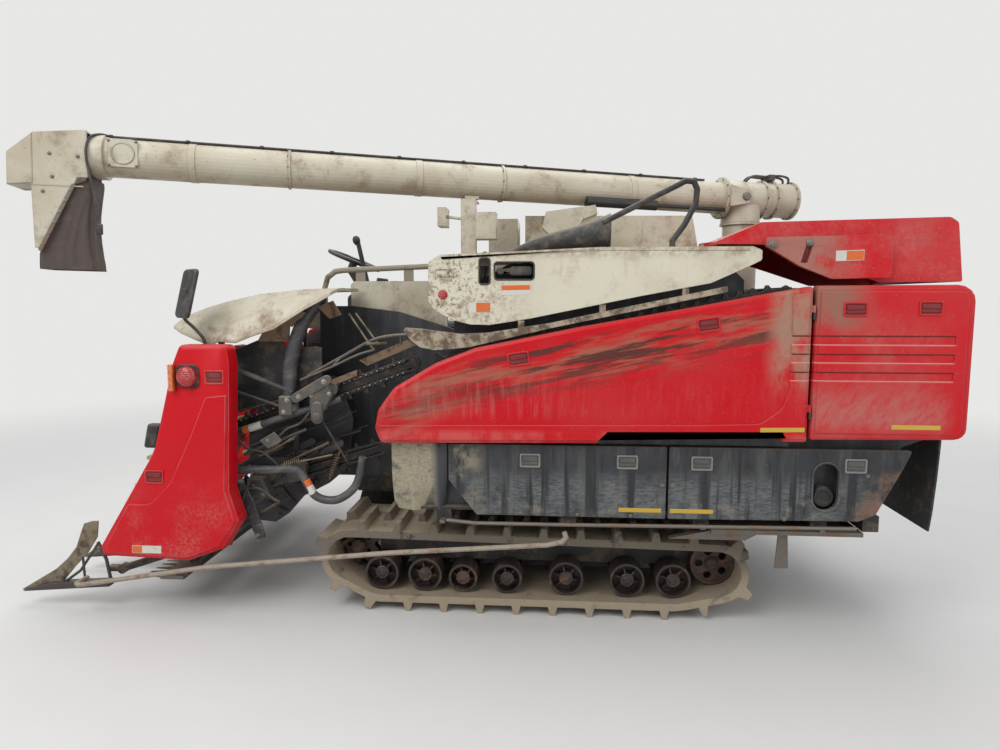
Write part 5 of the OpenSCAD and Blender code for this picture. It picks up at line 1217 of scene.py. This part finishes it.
def header_tubes():
    """The bent pipes of the header's left side."""
    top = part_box("header_pipes")[1][2] / MM
    tubes = Shape()
    tubes.rod(softened([(1200, 815, 855), (1200, 740, 855), (1150, 700, 868), (590, 700, 1050)], 40), 19, 20)
    leg = [
        (853, 700, 975), (853, 700, 1080), (847, 700, 1185), (828, 700, 1285), (796, 692, 1385),
        (766, 655, 1460)
    ]
    tubes.rod(flowing(leg + [(738, 618, 1510), (724, 600, 1545), (724, 600, top)], 4), 34, 24)
    tubes.rod([(1118, 760, 1208), (830, 720, 1083)], 12, 12)
    tubes.rod([(1118, 760, 1208), (1160, 815, 1208)], 11, 12)
    tubes.lathe((1118, 745, 1208), (0, 1, 0), [(0, 17), (28, 17), (30, 14), (31, 3)])
    tubes.block((870, 649.3, 950), (905, 700, 1000), 5)
    tubes.rod(softened([
        (1180, 815, 700), (1180, 796, 700), (1150, 780, 700), (830, 780, 713), (780, 780, 708),
        (722, 780, 584), (660, 780, 558), (590, 780, 562), (512, 780, 620), (484, 780, 690), (468, 780, 778)
    ], 46), 20, 20)
    tubes.lathe((853, 700, 990), (0, 0, 1), [(0, 44), (30, 44), (34, 40)], 24)
    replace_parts(tubes.add("header_tubes", "header", "frame_paint", "pipe"), "header_pipes")


def mirror():
    """The divider's mirror, turned towards the driver, on its bent stem."""
    y = 819.7
    stem = Shape().rod(flowing([
        (1212, y, 1230.3), (1212, y, 1290), (1216, y, 1340), (1240, y, 1376), (1273, y, 1410),
        (1305, y, 1440), (1318, y, 1478), (1312, y, 1515), (1290, y, 1545)
    ], 5), 8, 12)
    head = Matrix.Translation((1276, 838, 1562)) @ Matrix.Rotation(math.radians(50.0), 4, "Z")
    turn = head @ Matrix.Rotation(math.radians(-14.0), 4, "Y") @ FACES_REAR
    stem.place = turn
    stem.slab(oblong((-72, -118), (72, 118), 24), 3, -16, 8)
    stem.slab(oblong((-20, -22), (20, 22), 6), -10, -24, 4)
    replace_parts(stem.add("mirror_shell", "header", "black_plastic", "black"), "side_mirror")
    pane = Shape(turn).slab(oblong((-66, -112), (66, 112), 20), 2.5, 4.5, 0.8)
    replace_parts(pane.add("mirror_glass", "header", "bare_steel", "mirror"), "side_mirror")


# Where the tube ends and the outlet hood begins, along the boom
TUBE_END = 3460.0


def spout_shell():
    """The auger's outlet hood, open below."""
    half, wall = 104.0, 8.0
    outline = [
        (0, -110), (0, 100), (20, 102), (222, 78), (331, -18), (335, -162), (237, -152), (232, -440),
        (206, -450), (63, -150), (10, -130)
    ]
    outline = [(TUBE_END + s, h) for s, h in outline]
    shell = Shape(BOOM_PLACE)
    for side in (1, -1):
        shell.slab(outline, side * (half - wall), side * half, 3)
    rim = outline[1:8]
    back = [(s + ds, h + dh) for (s, h), (ds, dh) in zip(
        rim, [(0, -wall), (0, -wall), (-4, -wall), (-wall, -6), (-wall, wall), (-wall, wall), (-wall, 4)])]
    band = rim + back[::-1]
    shell.skin([[(s, t, h) for s, h in band] for t in (-half + wall - 1, half - wall + 1)])
    shell.lathe(
        (TUBE_END - 60, 0, 0), (1, 0, 0),
        [(0, 96), (0, 103), (2, 104.5), (59, 104.5), (61, 103), (61, 96)], 48
    )
    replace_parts(shell.add("spout_shell", "boom", "cream_paint", "cream_boom"), "auger_spout")


def spout_sock():
    """The canvas sock that hangs in the hood's notch, with folds that deepen downwards."""
    # Each ring runs round the sock at one height. Columns: height, rear edge, front edge, half width
    levels = [
        (-112, -20, 30, 97), (-135, -22, 66, 98), (-200, -14, 96, 98), (-270, -6, 130, 97),
        (-340, -2, 162, 96), (-400, -4, 190, 96), (-440, -8, 216, 97), (-470, -12, 224, 98),
        (-505, -18, 226, 99), (-538, -22, 227, 98)
    ]
    random.seed(5)
    folds = [(random.uniform(2.0, 4.5), random.uniform(0, math.tau), k) for k in (3, 5, 8, 13)]
    count = 96
    rings = []
    for thin in (0.0, 1.6):
        layer = []
        for h, rear, front, wide in levels:
            corner = rounded([(rear, -wide, 22), (front, -wide, 6), (front, wide, 6), (rear, wide, 22)], 6)
            points = [Vector(p) for p in corner]
            total = sum((b - a).length for a, b in zip(points, points[1:] + points[:1]))
            ring, walked, k = [], 0.0, 0
            for i in range(count):
                goal = total * i / count
                while walked + (points[(k + 1) % len(points)] - points[k]).length < goal:
                    walked += (points[(k + 1) % len(points)] - points[k]).length
                    k += 1
                step = points[(k + 1) % len(points)] - points[k]
                spot = points[k] + step * ((goal - walked) / max(step.length, 1e-6))
                outward = Vector((step.y, -step.x)).normalized()
                hang = min(1.0, (-112 - h) / 250.0)
                ripple = sum(
                    size * math.sin(math.tau * waves * i / count + turn + h * 0.006)
                    for size, turn, waves in folds
                )
                spot -= outward * (4 + thin + hang * abs(ripple) * 0.8)
                ring.append((TUBE_END + spot.x, spot.y, h))
            layer.append(ring)
        rings += layer if not thin else layer[::-1]
    sock = Shape(BOOM_PLACE)
    sock.skin(rings + [rings[0]], cap=False)
    bmesh.ops.remove_doubles(sock.mesh, verts=sock.mesh.verts, dist=0.00005)
    sock = sock.add("spout_sock", "boom", "flap_rubber", "canvas", 60)
    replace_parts(sock, "auger_spout")


def duct():
    """Flared rubber duct with its mouth open to the rear."""
    # Outside, lip and inside in turn. Columns: x, height, radius
    rows = [
        (-246, 1759.4, 12), (-290, 1770, 21), (-345, 1786, 30), (-440, 1806, 42), (-520, 1819, 50),
        (-600, 1832, 60), (-665, 1845, 72), (-698, 1852, 79)
    ]
    rows += [(-704, 1853, 80), (-704, 1853, 76)] + [(x + 4, z, r - 6) for x, z, r in rows[:2:-1]]
    turns = [math.tau * k / 28 for k in range(28)]
    rings = [[(x, 700 - 0.8 * r * math.sin(a), z + r * math.cos(a)) for a in turns] for x, z, r in rows]
    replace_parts(Shape().skin(rings).add("duct_tube", "chassis", "black_plastic", "duct"), "dust_duct")


def mud_flap():
    """Rubber mud guard at the front of the track, buckled inwards at its foot."""
    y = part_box("mud_guard")[1][1] / MM
    # Columns: height, then x and depth behind the outer face from the rear edge to the front edge
    rows = [
        (876, [(40, 2), (90, 2), (140, 2), (200, 2), (250, 2), (300, 2)]),
        (800, [(40, 2), (92, 3), (145, 4), (205, 3), (255, 3), (300, 3)]),
        (730, [(42, 10), (94, 4), (140, 5), (205, 2), (258, 3), (300, 5)]),
        (660, [(46, 26), (92, 6), (132, 9), (200, 2), (255, 5), (297, 8)]),
        (600, [(50, 46), (84, 6), (128, 34), (192, 0), (240, 7), (293, 16)]),
        (556, [(58, 56), (80, 12), (126, 58), (184, 4), (230, 16), (276, 34)]),
    ]
    rows = [(z, [Vector((x, y - depth, z)) for x, depth in row]) for z, row in rows]
    flap = Shape()
    front = [flowing([tuple(p) for p in row], 4) for z, row in rows]
    rings = [row + [p + Vector((0, -9, 0)) for p in row[::-1]] for row in front]
    flap.skin(rings)
    for x in (80, 170, 262):
        flap.bolt((x, y - 2, 862), (0, 1, 0), 6)
    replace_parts(flap.add("mud_flap", "chassis", "flap_rubber", "guard", 50), "mud_guard")


def divider_shoes():
    """Curved crop dividers at the front, each a leaf of sheet metal over a skid."""
    tip_z, rear = 80.0, 1745.0
    leaf = [
        (1790, 447), (1822, 446), (1866, 432), (1889, 376), (1913, 312), (1962, 252), (2026, 196),
        (2120, 140), (2217, tip_z + 2), (2110, 96), (2010, 112), (1930, 205), (1852, 286), (1800, 366)
    ]
    shoes, skids = Shape(), Shape()
    for place in (-2, -1, 0, 1, 2):
        y = place * ROW_PITCH + (math.copysign(80, place) if abs(place) == 2 else 0)
        shoes.slab(leaf, y - 3, y + 3, 1.5)
        # Flange turned inwards along the leaf's upper edge
        edge = leaf[1:9]
        for a, b in zip(edge, edge[1:]):
            shoes.skin([[(x, y + t, z + dz) for t, dz in ((-3, 0), (-3, -5), (-19, -14), (-21, -9))]
                        for x, z in (a, b)])
        skids.slab([(2200, tip_z), (2110, 112), (2050, 128), (rear, 150), (rear, 118)], y - 22, y + 22, 4)
        skids.rod([(2004, y, 116), (1900, y, 190), (1800, y, 330)], 7, 8)
        skids.rod([(1880, y, 140), (1884, y, 262)], 6, 8)
        skids.rod([(rear, y, 148), (rear + 16, y, 250), (1800, y, 340)], 8, 8)
        skids.bolt((1990, y + 4, 150), (0, 1, 0), 7)
    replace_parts(shoes.add("divider_leaves", "header", "bare_steel", "divider"), "dividers")
    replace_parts(skids.add("divider_skids", "header", "bare_steel", "skid"), "dividers")


# The platform's left side, in y. Rows to the right of it stop in front of it, so that the header can lift
PLATFORM_SIDE = 285
# Axis of the star wheels, and pitch of the rows' links
STAR_AXIS = Vector((0.35, 0.15, 0.92))
ROW_LINK = 32


def row_gear(wheels, bars, springs, y, shift):
    """One row's star wheels, guide bars, bracket and spring. shift sets neighbours apart in height."""
    for x, z, radius in ((1120, 690 + shift, 66), (900, 720 - shift, 58)):
        wheels.lathe((x, y, z), STAR_AXIS, [(-6, 22), (-6, radius - 22), (6, radius - 22), (6, 22)], 20)
        turn = Matrix.Translation((x, y, z)) @ STAR_AXIS.to_track_quat("Y", "Z").to_matrix().to_4x4()
        for tooth in range(9):
            wheels.place = turn @ Matrix.Rotation(math.tau * tooth / 9, 4, "Y")
            wheels.slab([(radius - 26, -9), (radius, -4), (radius - 4, 6), (radius - 26, 11)], -5, 5, 1.5)
        wheels.place = Matrix.Identity(4)
        wheels.lathe((x, y, z), STAR_AXIS, [(-26, 16), (20, 16), (24, 12), (25, 3)], 16)
    near = y < PLATFORM_SIDE
    low_bar = [(1180, y, 640), (1060, y + 8, 660), (900, y + 14, 730), (720, y + 10, 800), (560, y, 850)]
    high_bar = [
        (1150, y + 30, 760), (1000, y + 24, 820), (900, y + 20, 842), (820, y + 16, 860),
        (620, y + 10, 930)
    ]
    bars.rod(flowing(low_bar[:3] if near else low_bar), 8)
    bars.rod(flowing(high_bar[:3] if near else high_bar), 7)
    bars.rod([(1090, y, 470), (900, y, 640), (898, y, 705)], 16, 10)
    end = (905, 750 + shift) if near else (820, 790 + shift)
    bars.slab(capsule((1010, 700 + shift), end, 20), y + 24, y + 32, 2)
    bracket = rounded([(1000, 560, 8), (880, 600, 8), (860, 700, 12), (940, 680, 8), (1020, 640, 8)])
    bars.slab(bracket, y + 10, y + 40, 5)
    springs.coil((980, y + 44, 690 + shift), (900, y + 44, 728 + shift), 15, 3, 8)
    springs.rod([(1020, y + 44, 672 + shift), (860, y + 44, 746 + shift)], 5, 8)
    bars.slab([(885, 690), (915, 690), (915, 870), (885, 870)], y + 12, y + 42, 3)


def row_plates(bars):
    """Plates between the rows, cross tubes, the arms between them, and the carrier plate with its pins."""
    for y, shift in ((-60, 0), (-420, 30), (-600, 10)):
        bars.slab(rounded([
            (960, 560, 30), (1150, 560 + shift, 20), (1196, 800, 30), (1080, 905, 30), (985, 950, 20),
            (925, 860, 30), (895, 690, 25)
        ]), y - 3, y + 3, 1.5)
        for x, z in ((1100, 640), (1130, 780), (1000, 620), (980, 860)):
            bars.bolt((x, y + 3, z), (0, 1, 0), 8)
    bars.rod([(1120, -832, 700), (1120, 832, 700)], 14, 14)
    bars.rod([(900, -600, 706), (900, 600, 706)], 20, 16)
    for y in (580, 180, -200, -590):
        bars.slab(capsule((900, 706), (1120, 700), 18), y - 5, y + 5, 2)
    bars.slab(rounded([
        (650, 640, 30), (760, 545, 30), (905, 470, 30), (990, 372, 30), (1070, 318, 20), (1190, 330, 20),
        (1206, 800, 40), (1130, 1000, 40), (1000, 1110, 40), (700, 1130, 40), (620, 900, 40)
    ]), 400, 408, 2)
    for a, b, radius in (
        ((960, 412, 430), (1110, 412, 620), 12), ((1000, 414, 380), (1180, 414, 470), 10),
        ((820, 412, 560), (1100, 412, 520), 9)
    ):
        bars.rod([a, b], radius, 10)
    for x, z in ((860, 530), (960, 440), (1040, 360), (1150, 360), (1160, 480), (1060, 470)):
        bars.bolt((x, 408, z), (0, 1, 0), 8)
    for x, z, y in [
        (1046, 585, 800), (1150, 560, 705), (925, 852, 775), (835, 745, 715), (968, 780, 640),
        (669, 691, 592), (785, 739, 716), (905, 970, 560), (790, 930, 620), (910, 1060, 500)
    ]:
        bars.rod([(x, 404, z), (x, y, z)], 10, 12)


def row_chains(wheels, bars):
    """A short chain on its guide beside each row."""
    foot, top = Vector((1130, 520)), Vector((640, 800))
    way = (top - foot).normalized()
    across = Vector((way.y, -way.x))
    for y in (520, 250, -20, -250):
        links = 17 if y > PLATFORM_SIDE else 9
        guide = capsule(tuple(foot), tuple(foot + way * ROW_LINK * links), 17)
        bars.slab(guide, y - 2, y + 4, 1)
        bars.slab([(885, 640), (915, 640), (915, 706), (885, 706)], y - 6, y + 8, 2)
        for offset in (24, -24):
            for k in range(links):
                a = foot + way * (4 + ROW_LINK * k) + across * offset
                out = y + (k % 2) * 3
                wheels.slab(capsule(tuple(a), tuple(a + way * 24), 8, 4), out, out + 3, 0.8)
                if k % 3 == 0 and offset > 0:
                    tip = a + across * 36
                    wheels.slab([
                        tuple(a - way * 8), tuple(a + way * 8), tuple(tip + way * 16), tuple(tip + way * 6)
                    ], y - 3, y + 3, 1)


def row_works():
    """What gathers the rows behind the left side: star wheels, guide bars, springs and small chains."""
    wheels, bars, springs = Shape(), Shape(), Shape()
    for k, y in enumerate((470, 330, 60, -110, -330, -520)):
        row_gear(wheels, bars, springs, y, 18 * (k % 3))
    row_plates(bars)
    row_chains(wheels, bars)
    wheels.add("row_wheels", "header", "chain_steel", "chain")
    bars.add("row_bars", "header", "frame_paint", "pipe")
    springs.add("row_springs", "header", "bare_steel", "spring")


def cushion(name, outline, y0, y1, crown):
    """A vinyl pad: a closed form, filled by a short cloth simulation. Its piping is a piece of its own."""
    pad = Shape().slab(outline, (y0 + y1) / 2, y1, 26)
    other = Shape().slab(outline, (y0 + y1) / 2, y0, 26)
    bottom = bpy.data.meshes.new(name + "_part")
    other.mesh.to_mesh(bottom)
    other.mesh.free()
    pad.mesh.from_mesh(bottom)
    bpy.data.meshes.remove(bottom)
    piece = pad.add(name, "chassis", "seat_vinyl", "vinyl", 60)
    remesh = piece.modifiers.new("remesh", "REMESH")
    remesh.mode = "VOXEL"
    remesh.voxel_size = 0.0065
    apply_all(piece)
    before = [v.co.copy() for v in piece.data.vertices]
    cloth = piece.modifiers.new("cloth", "CLOTH")
    cloth.settings.quality = 5
    cloth.settings.use_pressure = True
    cloth.settings.uniform_pressure_force = 4.0
    cloth.settings.effector_weights.gravity = 0.0
    cloth.settings.tension_stiffness = 12.0
    cloth.settings.compression_stiffness = 12.0
    cloth.point_cache.frame_start = 1
    cloth.point_cache.frame_end = 20
    for step in range(1, 21):
        bpy.context.scene.frame_set(step)
    apply_all(piece)
    for vertex, start in zip(piece.data.vertices, before):
        move = vertex.co - start
        if move.length > crown:
            vertex.co = start + move * (crown / move.length)
    bpy.context.scene.frame_set(1)
    smooth = piece.modifiers.new("smooth", "SMOOTH")
    smooth.iterations = 4
    apply_all(piece)
    piece.data.polygons.foreach_set("use_smooth", [True] * len(piece.data.polygons))
    return piece


def apply_all(piece):
    """Turns the piece's modifiers into its mesh."""
    shown = piece.evaluated_get(bpy.context.evaluated_depsgraph_get())
    mesh = bpy.data.meshes.new_from_object(shown)
    piece.modifiers.clear()
    old = piece.data
    piece.data = mesh
    bpy.data.meshes.remove(old)


# Middle of the seat in y, and half its width
SEAT_Y = -520
SEAT_HALF = 218


def seat_pads():
    base = Shape()
    base.block((110, -665, 1290.5), (410, -375, 1326), 8)
    base.slab(oblong((84, 1322), (462, 1338), 6), -740, -300, 6)
    base.slab(rounded([(32, 1402, 4), (64, 1402, 4), (-6, 1830, 10), (-34, 1830, 10)]), -732, -308, 6)
    for y in (-700, -340):
        base.slab(rounded([
            (96, 1330, 10), (20, 1400, 20), (-4, 1520, 10), (22, 1526, 10), (70, 1420, 30), (130, 1350, 10)
        ]), y - 8, y + 8, 3)
    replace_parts(base.add("seat_base", "chassis", "black_plastic", "black"), "seat")
    outline = rounded([(72, 1344, 16), (462, 1344, 18), (470, 1398, 24), (72, 1384, 18)])
    bottom = cushion("seat_cushion", outline, SEAT_Y - SEAT_HALF, SEAT_Y + SEAT_HALF, 0.012)
    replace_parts(bottom, "seat")
    outline = rounded([(52, 1412, 14), (98, 1412, 14), (30, 1826, 24), (-22, 1826, 14)])
    back = cushion("seat_back", outline, -728, -312, 0.010)
    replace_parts(back, "seat")
    piping = Shape()
    seam = rounded([(80, 1350, 14), (456, 1350, 14), (463, 1392, 20), (80, 1378, 14)])
    back_seam = rounded([(56, 1420, 10), (92, 1420, 10), (26, 1818, 18), (-18, 1818, 10)])
    for side in (-1, 1):
        piping.loop(seam, SEAT_Y + side * (SEAT_HALF - 14), 3.5, 6)
        piping.loop(back_seam, SEAT_Y + side * (SEAT_HALF - 2), 3.5, 6)
    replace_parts(piping.add("seat_piping", "chassis", "seat_vinyl", "vinyl"), "seat")


def right_side():
    """Louvres, latches and bolts of the right side, the roof and the rear."""
    grille = Shape()
    for z in range(700, 1121, 60):
        for k in range(2):
            slat = [(-946 + out, z + 4 + 13 * k + rise) for out, rise in ((0, 0), (14, 7), (14, 9), (0, 2))]
            grille.skin([[(x, y, high) for y, high in slat] for x in (-219, 379)])
    for x in range(-140, 380, 80):
        grille.block((x - 3, -936, 702), (x + 3, -930, 1148), 1)
    grille.add("engine_louvres", "chassis", "black_plastic", "black")
    handles(
        "engine_cover", "chassis", "red_plastic",
        [(-190, 1216), (350, 1216)], -948, looks=("red_body", "grip_shaded")
    )
    hardware = Shape()
    for x in (-250, 80, 410):
        for z in (640, 1250):
            hardware.bolt((x, -948, z), (0, -1, 0), 6)
    for x in (-1180, -340):
        for z in (1010, 1350, 1650, 1900):
            hardware.bolt((x, -945, z), (0, -1, 0), 6)
    for x in (-760, -620):
        hardware.block((x - 22, -884, 2004), (x + 22, -850, 2018), 3)
        hardware.rod([(x - 26, -868, 2016), (x + 26, -868, 2016)], 6, 10)
    hardware.slab(oblong((-712, 1996), (-664, 2020), 6), -478, -470, 2)
    hardware.add("right_hardware", "chassis", "bare_steel", "steel")
    window = Shape(FACES_FRONT)
    window.loop(oblong((560, 1560), (720, 1860), 20), -278, 6)
    window.add("tank_window_frame", "chassis", "black_plastic", "black")
    levers = Shape()
    levers.lathe(
        (770, -270, 1870), (0.22, 0, 0.97), [(0, 9), (8, 17), (26, 24), (44, 22), (56, 12), (58, 2)], 20
    )
    for k in range(4):
        levers.rod([(693, -640 + 70 * k, 1572), (684, -640 + 70 * k, 1650)], 5, 8)
        levers.lathe(
            (684, -640 + 70 * k, 1648), (-0.1, 0, 1), [(0, 6), (4, 12), (18, 13), (26, 8), (27, 2)], 16
        )
    levers.lathe((720, -240, 1602), (0, 0, 1), [(0, 46), (8, 45), (22, 30), (28, 14), (29, 3)], 24)
    levers.add("control_knobs", "chassis", "black_plastic", "black")


# Colour that the background shows to the camera, and the distances over which the floor fades into it
BACKDROP = (0.80, 0.80, 0.79, 1.0)
FADE_START, FADE_END = 3.5, 9.0
FLOOR_HALF = 60.0


def seen_share(nodes, links):
    """One where a ray from the camera, a gloss or a glass looks at it, and none where it only lights."""
    path = nodes.new("ShaderNodeLightPath")
    share = path.outputs["Is Camera Ray"]
    for kind in ("Is Glossy Ray", "Is Transmission Ray"):
        larger = nodes.new("ShaderNodeMath")
        larger.operation = "MAXIMUM"
        links.new(share, larger.inputs[0])
        links.new(path.outputs[kind], larger.inputs[1])
        share = larger.outputs[0]
    return share


def floor_plane():
    """A pale floor that fades into the pale background."""
    mesh = bpy.data.meshes.new("floor")
    corners = [(u * FLOOR_HALF, v * FLOOR_HALF, 0.0) for u, v in ((-1, -1), (1, -1), (1, 1), (-1, 1))]
    mesh.from_pydata(corners, [], [(0, 1, 2, 3)])
    floor = bpy.data.objects.new("floor", mesh)
    bpy.context.scene.collection.objects.link(floor)
    pale = Look("floor", Roughness=0.8)
    fine = pale.noise(3.0, 4.0, 0.5)
    x, y = pale.along("X"), pale.along("Y")
    radius = pale.calc("SQRT", pale.calc("ADD", pale.calc("POWER", x, 2.0), pale.calc("POWER", y, 2.0)))
    fade = pale.band(radius, FADE_START, FADE_END)
    material = pale.finish(pale.mix(fine, (0.62, 0.615, 0.60), (0.66, 0.655, 0.64)), 0.8)
    nodes, links = material.node_tree.nodes, material.node_tree.links
    glow, blend = nodes.new("ShaderNodeEmission"), nodes.new("ShaderNodeMixShader")
    glow.inputs["Color"].default_value = BACKDROP
    share = nodes.new("ShaderNodeMath")
    share.operation = "MULTIPLY"
    links.new(fade, share.inputs[0])
    links.new(seen_share(nodes, links), share.inputs[1])
    surface = next(node for node in nodes if node.type == "OUTPUT_MATERIAL").inputs["Surface"]
    links.new(share.outputs[0], blend.inputs[0])
    links.new(surface.links[0].from_socket, blend.inputs[1])
    links.new(glow.outputs[0], blend.inputs[2])
    links.new(blend.outputs[0], surface)
    floor.data.materials.append(material)


def background():
    """A soft sky that lights the machine, seen as a plain pale backdrop."""
    world = bpy.data.worlds.new("studio")
    world.use_nodes = True
    nodes, links = world.node_tree.nodes, world.node_tree.links
    light, seen = nodes["Background"], nodes.new("ShaderNodeBackground")
    blend = nodes.new("ShaderNodeMixShader")
    light.inputs["Color"].default_value = (0.93, 0.96, 1.0, 1.0)
    light.inputs["Strength"].default_value = 0.5
    seen.inputs["Color"].default_value = BACKDROP
    links.new(seen_share(nodes, links), blend.inputs[0])
    links.new(light.outputs[0], blend.inputs[1])
    links.new(seen.outputs[0], blend.inputs[2])
    links.new(blend.outputs[0], nodes["World Output"].inputs["Surface"])
    bpy.context.scene.world = world


def lights():
    """Soft lamps: two on the left, one above and one on the right. Columns: name, place, size, power."""
    for name, place, size, power in [
        ("key", (3.5, 5.5, 6.5), 5.0, 400.0),
        ("fill", (-6.0, 5.0, 3.5), 5.0, 130.0),
        ("top", (-0.5, -1.0, 7.5), 6.0, 240.0),
        ("back", (0.0, -7.0, 5.0), 5.0, 170.0),
    ]:
        light = bpy.data.lights.new(name, "AREA")
        light.size = size
        light.energy = power
        lamp = bpy.data.objects.new(name, light)
        lamp.location = place
        lamp.rotation_euler = (Vector((0.0, 0.0, 1.0)) - Vector(place)).to_track_quat("-Z", "Y").to_euler()
        bpy.context.scene.collection.objects.link(lamp)


# The camera that matches the photograph: place in metres, turn forwards, tilt down, lens in millimetres
EYE = (-0.444, 4.006, 1.534)
EYE_YAW = math.radians(4.4)
EYE_PITCH = math.radians(6.2)
EYE_LENS = 24.95


def camera():
    """The photograph's viewpoint: four metres to the left of the machine's middle, at eye level."""
    view = bpy.data.cameras.new("camera")
    view.sensor_width = 36.0
    view.lens = EYE_LENS
    eye = bpy.data.objects.new("camera", view)
    eye.location = EYE
    level = math.cos(EYE_PITCH)
    forward = Vector((math.sin(EYE_YAW) * level, -math.cos(EYE_YAW) * level, -math.sin(EYE_PITCH)))
    eye.rotation_euler = forward.to_track_quat("-Z", "Y").to_euler()
    bpy.context.scene.collection.objects.link(eye)
    bpy.context.scene.camera = eye


camera()
floor_plane()
background()
lights()
dress_frame()
side_doors()
low_covers()
upper_cover()
hood_fittings()
header_shell()
header_lamps()
running_gear()
tube_fittings()
head_fittings()
gather_chain()
header_gears()
header_rods()
straw_guides()
pipe_bands()
header_tubes()
mirror()
spout_shell()
spout_sock()
duct()
mud_flap()
divider_shoes()
row_works()
seat_pads()
right_side()
bpy.context.scene.view_settings.view_transform = "Standard"
